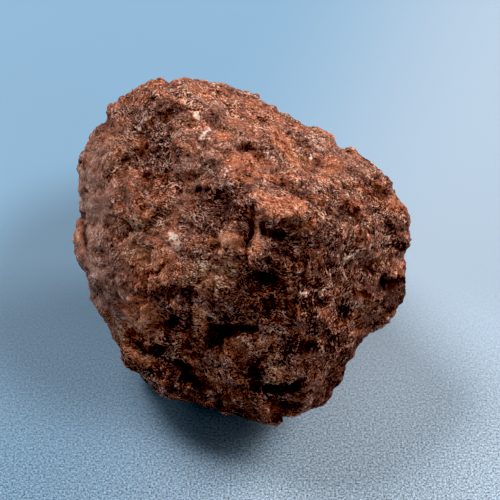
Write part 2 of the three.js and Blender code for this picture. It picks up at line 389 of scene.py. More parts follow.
# hollows on the show side with corners all round: corners in mm, depth and dig in mm
gouges = {
    "topHollow": ((
        (-4.17, 7.08), (-3.85, 7.29), (-3.54, 7.5), (-3.33, 7.66), (-3.02, 7.45), (-2.6, 7.29),
        (-2.81, 7.14), (-3.18, 7.08), (-3.49, 6.82), (-3.85, 6.67), (-4.11, 6.77),
    ), 0.14, 0.03),
    "browPit": (((-4.38, 7.19), (-4.17, 7.29), (-4.01, 6.88), (-4.11, 6.51), (-4.32, 6.72)), 0.05, 0),
    "browSlit": (((-5.31, 6.09), (-4.9, 6.04), (-4.27, 5.83), (-4.48, 5.73), (-5.1, 5.89)), 0.07, 0),
    "leftEye": ((
        (-5.0, 5.57), (-4.74, 5.52), (-4.74, 5.16), (-4.9, 4.79), (-5.16, 4.9), (-5.05, 5.26),
    ), 0.2, 0),
    "leftEyeLow": (((-6.2, 4.95), (-5.89, 4.9), (-5.68, 4.69), (-5.83, 4.38), (-6.15, 4.43)), 0.15, 0),
    "slit": ((
        (-2.14, 5.57), (-1.82, 5.68), (-1.46, 5.52), (-1.3, 5.36), (-1.61, 5.26), (-2.03, 5.36),
    ), 0.2, 0.04),
    "slitRight": (((-1.41, 5.26), (-0.94, 5.21), (-0.83, 5.05), (-1.25, 5.0)), 0.1, 0),
    "topSlits": ((
        (-0.31, 5.26), (0.1, 5.47), (0.52, 5.36), (0.94, 5.26), (1.25, 5.36), (1.25, 5.16),
        (0.83, 5.1), (0.42, 5.0), (-0.05, 5.1),
    ), 0.16, 0.04),
    "saddleSlit": (((-1.61, 3.75), (-1.25, 3.8), (-0.99, 3.59), (-1.09, 3.33), (-1.46, 3.44)), 0.1, 0),
    "rowSlitLeft": ((
        (0.05, 3.44), (0.31, 3.59), (0.52, 3.39), (0.83, 3.44), (0.62, 3.23), (0.21, 3.23),
    ), 0.12, 0.02),
    "rowSlit": (((1.98, 3.54), (2.29, 3.65), (2.6, 3.49), (2.4, 3.33), (2.08, 3.33)), 0.1, 0.02),
    "rowSlitRight": (((2.71, 3.44), (3.23, 3.49), (3.7, 3.33), (3.13, 3.23)), 0.07, 0),
    "slopePatch": ((
        (2.66, 5.52), (3.02, 5.68), (3.39, 5.52), (3.75, 5.36), (3.44, 5.21), (2.97, 5.26),
    ), 0.08, 0),
    "underShelf": ((
        (1.04, 1.3), (1.35, 1.35), (1.67, 1.09), (2.03, 0.99), (2.34, 0.78), (2.24, 0.52),
        (1.88, 0.47), (1.46, 0.68), (1.09, 0.78),
    ), 0.3, 0.08),
    "middleHollow": ((
        (0.42, -1.41), (0.83, -1.2), (1.56, -1.2), (2.03, -1.41), (1.88, -1.67), (1.15, -1.77), (0.73, -1.67),
    ), 0.16, 0.02),
    "rightSlot": (((3.75, 0.47), (4.11, 0.57), (4.32, 0.42), (3.91, 0.26)), 0.14, 0.02),
    "darkSpot": (((4.9, -1.2), (5.21, -1.25), (5.36, -1.61), (5.05, -1.82), (4.79, -1.56)), 0.12, 0),
    "sillPit": ((
        (-1.88, 0.1), (-1.56, 0.26), (-1.09, 0.21), (-0.94, 0), (-1.25, -0.16), (-1.72, -0.1),
    ), 0.1, 0),
    "sillShade": ((
        (-2.81, 1.15), (-2.08, 0.99), (-1.41, 1.04), (-1.35, 0.73), (-1.88, 0.57), (-2.6, 0.68),
    ), 0.07, 0),
    "trench": ((
        (-1.72, -3.54), (-1.35, -3.7), (-0.94, -3.96), (0, -3.96), (0.94, -4.01), (0.99, -4.32),
        (0.31, -4.32), (-0.31, -4.48), (-0.89, -4.84), (-1.46, -5.21), (-1.82, -5.1), (-1.93, -4.69),
        (-1.67, -4.27), (-1.77, -3.91),
    ), 0.3, 0.04),
    "smallPit": ((
        (-3.75, -3.49), (-3.44, -3.39), (-3.23, -3.65), (-3.33, -3.96), (-3.65, -3.96), (-3.8, -3.7),
    ), 0.2, 0.02),
    "smallPitRight": ((
        (-2.86, -3.39), (-2.5, -3.39), (-2.5, -4.01), (-2.66, -4.43), (-2.86, -4.06), (-2.76, -3.7),
    ), 0.13, 0),
    "smallPitLow": (((-2.97, -4.64), (-2.6, -4.48), (-2.45, -4.95), (-2.71, -5.31), (-3.02, -5.1)), 0.1, 0),
    "lipHollow": ((
        (-5.78, -4.32), (-5.52, -4.58), (-5.1, -4.9), (-4.53, -5.05), (-3.75, -5.05), (-3.59, -5.36),
        (-4.06, -5.52), (-4.69, -5.36), (-5.16, -5.21), (-5.57, -4.95), (-5.78, -4.64),
    ), 0.16, 0.06),
    "lipPit": ((
        (-3.23, -5.94), (-2.71, -5.78), (-2.4, -6.25), (-1.93, -6.77), (-1.35, -7.19), (-1.93, -7.4),
        (-2.5, -6.98), (-2.97, -6.77), (-3.13, -6.35),
    ), 0.24, 0.02),
    "footPit": (((-4.01, -7.14), (-3.54, -7.03), (-3.23, -7.29), (-3.33, -7.6), (-3.85, -7.5)), 0.12, 0),
    "footSlit": (((-1.25, -7.55), (-0.94, -7.45), (-0.99, -8.07), (-1.25, -8.39), (-1.41, -7.92)), 0.11, 0),
    "underNodule": ((
        (0.52, -6.82), (0.83, -6.77), (1.25, -6.98), (1.88, -7.08), (2.55, -7.08), (2.97, -6.88),
        (3.39, -6.67), (3.18, -7.19), (2.66, -7.45), (1.56, -7.4), (0.83, -7.4), (0.52, -7.19),
    ), 0.3, 0.12),
    "noduleSide": ((
        (0.52, -5.73), (1.04, -5.78), (1.25, -6.25), (0.99, -6.72), (0.57, -6.72), (0.36, -6.2),
    ), 0.12, 0),
    "tipPit": ((
        (1.15, -7.92), (1.67, -7.81), (2.34, -7.92), (3.13, -8.02), (2.6, -8.23), (1.56, -8.18),
    ), 0.1, 0),
    "rightNotch": ((
        (7.6, -1.77), (7.92, -1.51), (8.28, -1.35), (8.7, -1.46), (8.49, -1.72), (8.13, -1.93), (7.76, -2.03),
    ), 0.2, 0.04),
    "rightNotchIn": ((
        (7.24, -1.35), (7.6, -1.3), (7.71, -1.77), (7.66, -2.14), (7.34, -2.19), (7.24, -1.77),
    ), 0.1, 0),
    "rightHollow": ((
        (6.98, 3.13), (7.4, 3.28), (7.71, 3.13), (7.76, 2.76), (7.34, 2.55), (7.03, 2.76),
    ), 0.09, 0),
    "rightSlit": ((
        (6.46, 3.33), (6.72, 3.44), (6.77, 2.92), (6.88, 2.45), (6.61, 2.5), (6.46, 2.86),
    ), 0.07, 0),
    "ledgeHollow": ((
        (4.95, 2.34), (5.42, 2.45), (6.04, 2.24), (6.2, 1.93), (5.73, 1.61), (5.21, 1.82),
    ), 0.08, 0),
    "ledgeSlot": (((5.1, 0.52), (5.42, 0.73), (5.52, 0.36), (5.26, 0.26)), 0.08, 0),
    "leftNick": (((-3.75, -0.4), (-3.49, -0.3), (-3.5, -0.7), (-3.7, -0.9)), 0.06, 0),
    "leftNickLow": (((-4.9, -0.42), (-4.69, -0.36), (-4.69, -0.73), (-4.9, -0.89)), 0.06, 0),
    "leftSpot": (((-6.2, -1.72), (-5.83, -1.72), (-5.83, -2.14), (-6.15, -2.14)), 0.07, 0),
}

# ribs that a pale or rusty stain follows too, as lines through places in mm
ribs = {
    "crease": ((0.94, 1.41), (0.83, 0.78), (0.68, 0.21), (0.57, -0.42), (0.31, -0.94)),
    "facet": ((0, -4.48), (0.36, -4.9), (0.63, -5.31)),
    "flank": ((4.48, -5.99), (4.06, -6.67), (3.85, -7.4), (3.54, -8.18)),
    "flankThin": ((5.47, -4.84), (4.84, -5.83), (4.27, -6.77), (3.95, -7.71)),
    "rusty": ((4.17, -3.07), (4.48, -3.44), (4.79, -4.06)),
    "slope": ((1.3, 4.38), (1.51, 4.17), (1.35, 3.75), (1.25, 3.33), (1.15, 2.97)),
}

# cracks, and ribs where the depth is negative, drawn through places on the show side: half width, depth and
# dig in mm
cracks = {
    "lip": ((
        (-5.78, -4.32), (-5.63, -4.74), (-5.1, -5.05), (-4.58, -5.42), (-3.91, -5.68), (-3.28, -5.94),
        (-2.92, -6.3),
    ), 0.16, 0.22, 0.05),
    "crease": (((0.68, 2.29), (0.62, 1.56), (0.52, 0.73), (0.36, 0.1), (0.31, -0.63)), 0.17, 0.2, 0),
    "creaseRib": (ribs["crease"], 0.14, -0.06, 0),
    "facetCrack": (((-3.13, -5.31), (-2.34, -5.47), (-1.46, -5.57)), 0.1, 0.1, 0),
    "facetEdge": (ribs["facet"], 0.08, -0.05, 0),
    "flankEdge": (ribs["flank"], 0.14, -0.08, 0),
    "flankLine": (ribs["flankThin"], 0.08, -0.04, 0),
    "leftFurrow": (((-6.98, 1.98), (-6.93, 1.25), (-7.14, 0.21), (-7.08, -0.63)), 0.2, 0.07, 0),
    "slopeFold": (((2.29, 6.56), (2.5, 6.25), (2.76, 6.04)), 0.1, 0.08, 0),
    "slopeCurl": (((1.46, 6.88), (1.82, 6.61), (2.03, 6.61)), 0.08, 0.07, 0),
    "slopeRow": (((3.7, 4.48), (4.11, 4.32), (4.43, 4.27)), 0.1, 0.08, 0),
    "crownLine": (((-3.13, 8.91), (-2.6, 8.85), (-2.08, 8.85), (-1.67, 8.85)), 0.08, 0.05, 0),
    "rustRib": (ribs["rusty"], 0.16, -0.06, 0),
    "slopeRib": (ribs["slope"], 0.06, -0.03, 0),
}

# what is taken off the outline, all the way round: turn in degrees, where 0 is right and 90 is up, half-width
# in degrees, and depth in mm
pushes = (
    (20, 9, 0.45),
    (45, 14, -0.12),
    (66, 10, 0.3),
    (122, 6, -0.2),
    (136, 9, 0.35),
    (136, 2.2, 0.3),
    (150, 4, -0.2),
    (161, 12, -0.3),
    (187, 9, 0.22),
    (225, 9, -0.15),
    (282, 10, 0.25),
    (285.5, 2.2, -0.2),
    (310, 5, 0.14),
    (320, 8, -0.2),
    (340, 5, -0.28),
    (350, 8, 0.2),
)


def pointsOf(obj, kind="co"):
    flat = np.empty(len(obj.data.vertices) * 3, np.float32)
    obj.data.vertices.foreach_get(kind, flat)
    return flat.reshape(-1, 3).astype(float)


def normalsOf(obj):
    return pointsOf(obj, "normal")


def movePoints(obj, points):
    obj.data.vertices.foreach_set("co", points.astype(np.float32).ravel())
    obj.data.update()


def scattered(cell, salt):  # repeatable numbers from -1 to 1, one for each cell of a grid
    mixed = salt * noiseForm["saltPrime"]
    for k, prime in enumerate(noiseForm["primes"]):
        mixed = mixed ^ (cell[:, k] * prime)
    for shift, prime in noiseForm["mixers"]:
        mixed = (mixed ^ (mixed >> shift)) * prime & 0xFFFFFFFF
    return ((mixed ^ (mixed >> noiseForm["lastShift"])) & 0xFFFF) / (0xFFFF / 2) - 1


def softNoise(points, size, salt):  # smooth lumps, about -1 to 1
    place = points / (size * mm) + noiseForm["shift"]
    cell = np.floor(place).astype(np.int64)
    part = place - cell
    ease = part ** 3 * (part * (part * 6 - 15) + 10)
    total = np.zeros(len(points))
    for corner in itertools.product((0, 1), repeat=3):
        near = cell + corner
        slope = np.stack([scattered(near, salt * 3 + k) for k in range(3)], 1)
        weight = np.prod(np.where(corner, ease, 1 - ease), axis=1)
        total += weight * (slope * (part - corner)).sum(1)
    return total * noiseForm["gain"]


def chipped(points, layer, salt):  # how far the tilted chips lift each point, mm
    place = points / (layer["size"] * mm) + noiseForm["chipShift"]
    base = np.floor(place).astype(np.int64)
    total = np.zeros(len(points))
    weights = np.zeros(len(points))
    for shift in itertools.product((-1, 0, 1), repeat=3):
        cell = base + shift
        middle = np.stack([0.5 + noiseForm["chipJitter"] * scattered(cell, salt + k) for k in range(3)], 1)
        away = place - cell - middle
        slope = np.stack([scattered(cell, salt + 3 + k) for k in range(3)], 1)
        weight = np.exp(-layer["crispness"] * (away ** 2).sum(1))
        tilt = layer["tilt"] * layer["size"] * (slope * away).sum(1)
        total += weight * (tilt + layer["rise"] * scattered(cell, salt + 7))
        weights += weight
    return total / weights


def smoothStep(value, low, high):
    share = np.clip((value - low) / (high - low), 0, 1)
    return share * share * (3 - 2 * share)


def fromHeart(points, unit=1):  # how far each point is from the heart: across, up, and towards the show side
    away = (points - np.array(heart)) / unit
    return [away @ np.array(axis) for axis in (across, up, toward)]


def seenPlaces(points):  # where each point shows, in mm across and up from the heart
    side, over, near = fromHeart(points, mm)
    grown = showSide["distance"] / (showSide["distance"] - near)
    seen = np.stack([showSide["aside"] + (side - showSide["aside"]) * grown, over * grown], 1)
    for k in range(2):
        for waver in wavers:
            seen[:, k] += waver["depth"] * softNoise(points, waver["size"], waver["salt"] + k)
    return seen


def shownShare(outward, name):  # 1 where the surface faces the show side and 0 where it is turned away
    return smoothStep(outward @ np.array(toward), *shownFrom[name])


def ovalMask(seen, at, half, spin, soft):  # 1 inside an oval and 0 outside it
    spin = math.radians(spin)
    along = np.array((math.cos(spin), math.sin(spin)))
    over = np.array((-math.sin(spin), math.cos(spin)))
    away = seen - np.array(at)
    reach = ((away @ along) / half[0]) ** 2 + ((away @ over) / half[1]) ** 2
    return smoothStep(1 - reach, -soft, soft)


def closeTo(seen, places, reach):  # which points are near enough to a drawn line or outline to matter
    low, high = np.min(places, axis=0) - reach, np.max(places, axis=0) + reach
    return np.flatnonzero(((seen > low) & (seen < high)).all(1))


def gapTo(seen, places):  # how far each point is from a line drawn through the places
    gap = np.full(len(seen), np.inf)
    for first, second in zip(places, places[1:]):
        step = np.subtract(second, first)
        along = np.clip((seen - first) @ step / (step @ step), 0, 1)
        gap = np.minimum(gap, np.linalg.norm(seen - first - along[:, None] * step, axis=1))
    return gap


def lineMask(seen, places, half):  # 1 on the line and 0 beyond its half width
    mask = np.zeros(len(seen))
    close = closeTo(seen, places, half)
    mask[close] = smoothStep(1 - gapTo(seen[close], places) / half, 0, 1)
    return mask


def areaMask(seen, corners, soft):  # 1 within the corners and 0 outside them
    mask = np.zeros(len(seen))
    close = closeTo(seen, corners, soft)
    side, over = seen[close].T
    ring = (*corners, corners[0])
    within = np.zeros(len(close), bool)
    for first, second in zip(ring, ring[1:]):
        crossed = (first[1] > over) != (second[1] > over)
        rise = (second[1] - first[1]) or 1
        within ^= crossed & (side < first[0] + (over - first[1]) * (second[0] - first[0]) / rise)
    gap = gapTo(seen[close], ring)
    mask[close] = smoothStep(np.where(within, gap, -gap), -soft, soft)
    return mask


def neighboursOf(obj):
    edges = np.empty(len(obj.data.edges) * 2, np.int32)
    obj.data.edges.foreach_get("vertices", edges)
    counts = np.bincount(edges, minlength=len(obj.data.vertices))[:, None]
    return edges.reshape(-1, 2), counts


def spread(values, edges, counts, times):  # each time moves a value half way to its neighbours' mean
    for _ in range(times):
        total = np.empty_like(values)
        for k in range(values.shape[1]):
            total[:, k] = np.bincount(edges[:, 0], values[edges[:, 1], k], len(values))
            total[:, k] += np.bincount(edges[:, 1], values[edges[:, 0], k], len(values))
        values = 0.5 * values + 0.5 * total / counts
    return values


def broadNormals(obj, edges, counts, name):  # which way the broad shape faces at each point
    broad = spread(normalsOf(obj), edges, counts, rounds[name])
    return broad / np.linalg.norm(broad, axis=1)[:, None]


def keptOffFloor(points):  # 0 on the flat the stone rests on, 1 well above it
    return smoothStep(points[:, 2] / mm, *stoneShape["foot"])


def lift(obj, points, outward, rise):  # moves the points out by the rise in mm, but not those on the floor
    movePoints(obj, points + outward * (rise * mm * keptOffFloor(points))[:, None])


def copyOfNode(node, name):
    obj = bpy.data.objects.new(name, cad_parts[node].data.copy())
    obj.data.name = name
    obj.data.materials.clear()
    bpy.context.scene.collection.objects.link(obj)
    pick(obj)
    bpy.ops.object.mode_set(mode="EDIT")
    bpy.ops.mesh.select_all(action="SELECT")
    bpy.ops.mesh.remove_doubles(threshold=stoneShape["mergeWithin"])
    bpy.ops.object.mode_set(mode="OBJECT")
    return obj


def applied(obj, kind, **values):
    pick(obj)
    modifier = obj.modifiers.new(kind.lower(), kind)
    for key, value in values.items():
        setattr(modifier, key, value)
    bpy.ops.object.modifier_apply(modifier=modifier.name)


def voxelRemeshed(obj, voxel):
    applied(obj, "REMESH", mode="VOXEL", voxel_size=voxel * mm, adaptivity=0)


def pushOutline(obj):  # moves the rim that makes the outline in or out, and fades towards the front and back
    points = pointsOf(obj)
    side, over, near = fromHeart(points)
    radius = np.hypot(side, over)
    turn = np.degrees(np.arctan2(over, side))
    distance = np.linalg.norm(points - np.array(heart), axis=1)
    rim = smoothStep(radius / distance, *stoneShape["rim"]) * keptOffFloor(points)
    inward = -(side[:, None] * np.array(across) + over[:, None] * np.array(up)) / radius[:, None]
    for middle, half, depth in pushes:
        gone = ((turn - middle + 180) % 360 - 180) / half
        points += inward * (depth * mm * np.exp(-gone ** 2) * rim)[:, None]
    movePoints(obj, points)


def chipSurface(obj, layers, salt):
    points = pointsOf(obj)
    rise = sum(chipped(points, layer, salt + noiseForm["layerStep"] * k) for k, layer in enumerate(layers))
    lift(obj, points, normalsOf(obj), rise)


def cutSeams(obj):
    points = pointsOf(obj)
    side, over, near = fromHeart(points)
    rise = np.zeros(len(points))
    for k, seam in enumerate(seams):
        turn = math.radians(seam["turn"])
        along = (side * math.cos(turn) + over * math.sin(turn)) / seam["stretch"]
        aside = over * math.cos(turn) - side * math.sin(turn)
        field = softNoise(np.stack([along, aside, near], 1), seam["size"], salts["seams"] + k)
        rise += seam["height"] * np.maximum(0, 1 - np.abs(field) / seam["width"])
    lift(obj, points, normalsOf(obj), rise)


def pitMasks(points, outward):  # each layer of scattered pits, and where it lies
    hidden = 1 - shownShare(outward, "pits")
    for k, pit in enumerate(scatteredPits):
        high = smoothStep(softNoise(points, pit["size"], salts["pits"] + k), pit["from"], pit["to"])
        yield pit, high * np.maximum(hidden, pit["shown"])


def sinkPits(obj):
    points = pointsOf(obj)
    edges, counts = neighboursOf(obj)
    outward = broadNormals(obj, edges, counts, "pits")
    sunk = sum(mask * pit["depth"] for pit, mask in pitMasks(points, outward))
    lift(obj, points, outward, -sunk)


def showSideCuts(seen):  # the mask, depth and dig of everything carved into the show side
    for at, half, spin, depth, dig in dents.values():
        yield ovalMask(seen, at, half, spin, softEdges["dent"]), depth, dig
    for corners, depth, dig in gouges.values():
        yield areaMask(seen, corners, softEdges["gouge"]), depth, dig
    for places, half, depth, dig in cracks.values():
        yield lineMask(seen, places, half), depth, dig


def carveDents(obj):
    points = pointsOf(obj)
    edges, counts = neighboursOf(obj)
    outward = broadNormals(obj, edges, counts, "cuts")
    seen = seenPlaces(points)
    facing = shownShare(outward, "cuts") * keptOffFloor(points)
    for mask, depth, dig in showSideCuts(seen):
        mask = (mask * facing * mm)[:, None]
        points += np.array(up) * mask * dig - outward * mask * depth
    movePoints(obj, points)


def addGrit(obj):
    texture = bpy.data.textures.new("grit", "CLOUDS")
    texture.noise_basis = grit["basis"]
    texture.noise_scale = grit["size"] * mm
    texture.noise_depth = grit["layers"]
    applied(
        obj, "DISPLACE", texture=texture, texture_coords="LOCAL",
        strength=grit["depth"] * mm, mid_level=grit["middle"],
    )


def smoothHandled(obj):
    points = pointsOf(obj)
    patch = handledPatches
    high = smoothStep(softNoise(points, patch["size"], salts["handled"]), patch["from"], patch["to"])
    share = high * patch["strength"]
    edges, counts = neighboursOf(obj)
    facing = shownShare(broadNormals(obj, edges, counts, "handled"), "handled")
    share *= 1 - facing
    seen = seenPlaces(points)
    for at, half, spin, strength in handled:
        share = np.maximum(share, ovalMask(seen, at, half, spin, softEdges["handled"]) * strength * facing)
    smooth = spread(points, edges, counts, patch["rounds"])
    share *= keptOffFloor(points)
    movePoints(obj, points + (smooth - points) * share[:, None])


def insideBox(obj):  # nothing stands outside the box that the whole model keeps to
    low, high = (np.array(corner) for corner in cadBox)
    movePoints(obj, np.clip(pointsOf(obj), low, high))


def keepAttribute(obj, name, values):
    attribute = obj.data.attributes.new(name, "FLOAT", "POINT")
    attribute.data.foreach_set("value", values.astype(np.float32))


def measureRelief(obj):  # how deep each point lies under the fine and the broad shape around it, in mm
    points = pointsOf(obj)
    edges, counts = neighboursOf(obj)
    near = spread(points, edges, counts, rounds["nick"])
    far = spread(near, edges, counts, rounds["hollow"])
    keepAttribute(obj, "nick", ((near - points) * normalsOf(obj)).sum(1) / mm)
    keepAttribute(obj, "hollow", ((far - points) * broadNormals(obj, edges, counts, "relief")).sum(1) / mm)


def makeStone():
    stone = copyOfNode("stone", "meteorite")
    applied(stone, "SUBSURF", levels=1, render_levels=1)
    voxelRemeshed(stone, stoneShape["bodyVoxel"])
    applied(stone, "SMOOTH", iterations=stoneShape["bodySmooth"], factor=stoneShape["smoothing"])
    pushOutline(stone)
    voxelRemeshed(stone, stoneShape["carveVoxel"])
    chipSurface(stone, bigChips, salts["bigChips"])
    sinkPits(stone)
    carveDents(stone)
    print("body carved", len(stone.data.vertices))
    voxelRemeshed(stone, stoneShape["fineVoxel"])
    applied(stone, "SMOOTH", iterations=stoneShape["fineSmooth"], factor=stoneShape["smoothing"])
    chipSurface(stone, smallChips, salts["smallChips"])
    cutSeams(stone)
    addGrit(stone)
    smoothHandled(stone)
    insideBox(stone)
    applied(stone, "TRIANGULATE")
    applied(stone, "DECIMATE", ratio=min(1, stoneShape["triangles"] / len(stone.data.polygons)))
    insideBox(stone)
    print("surface chipped and gritted", len(stone.data.polygons), "triangles")
    measureRelief(stone)
    paintStone(stone)
    bpy.ops.object.shade_smooth()
    return stone


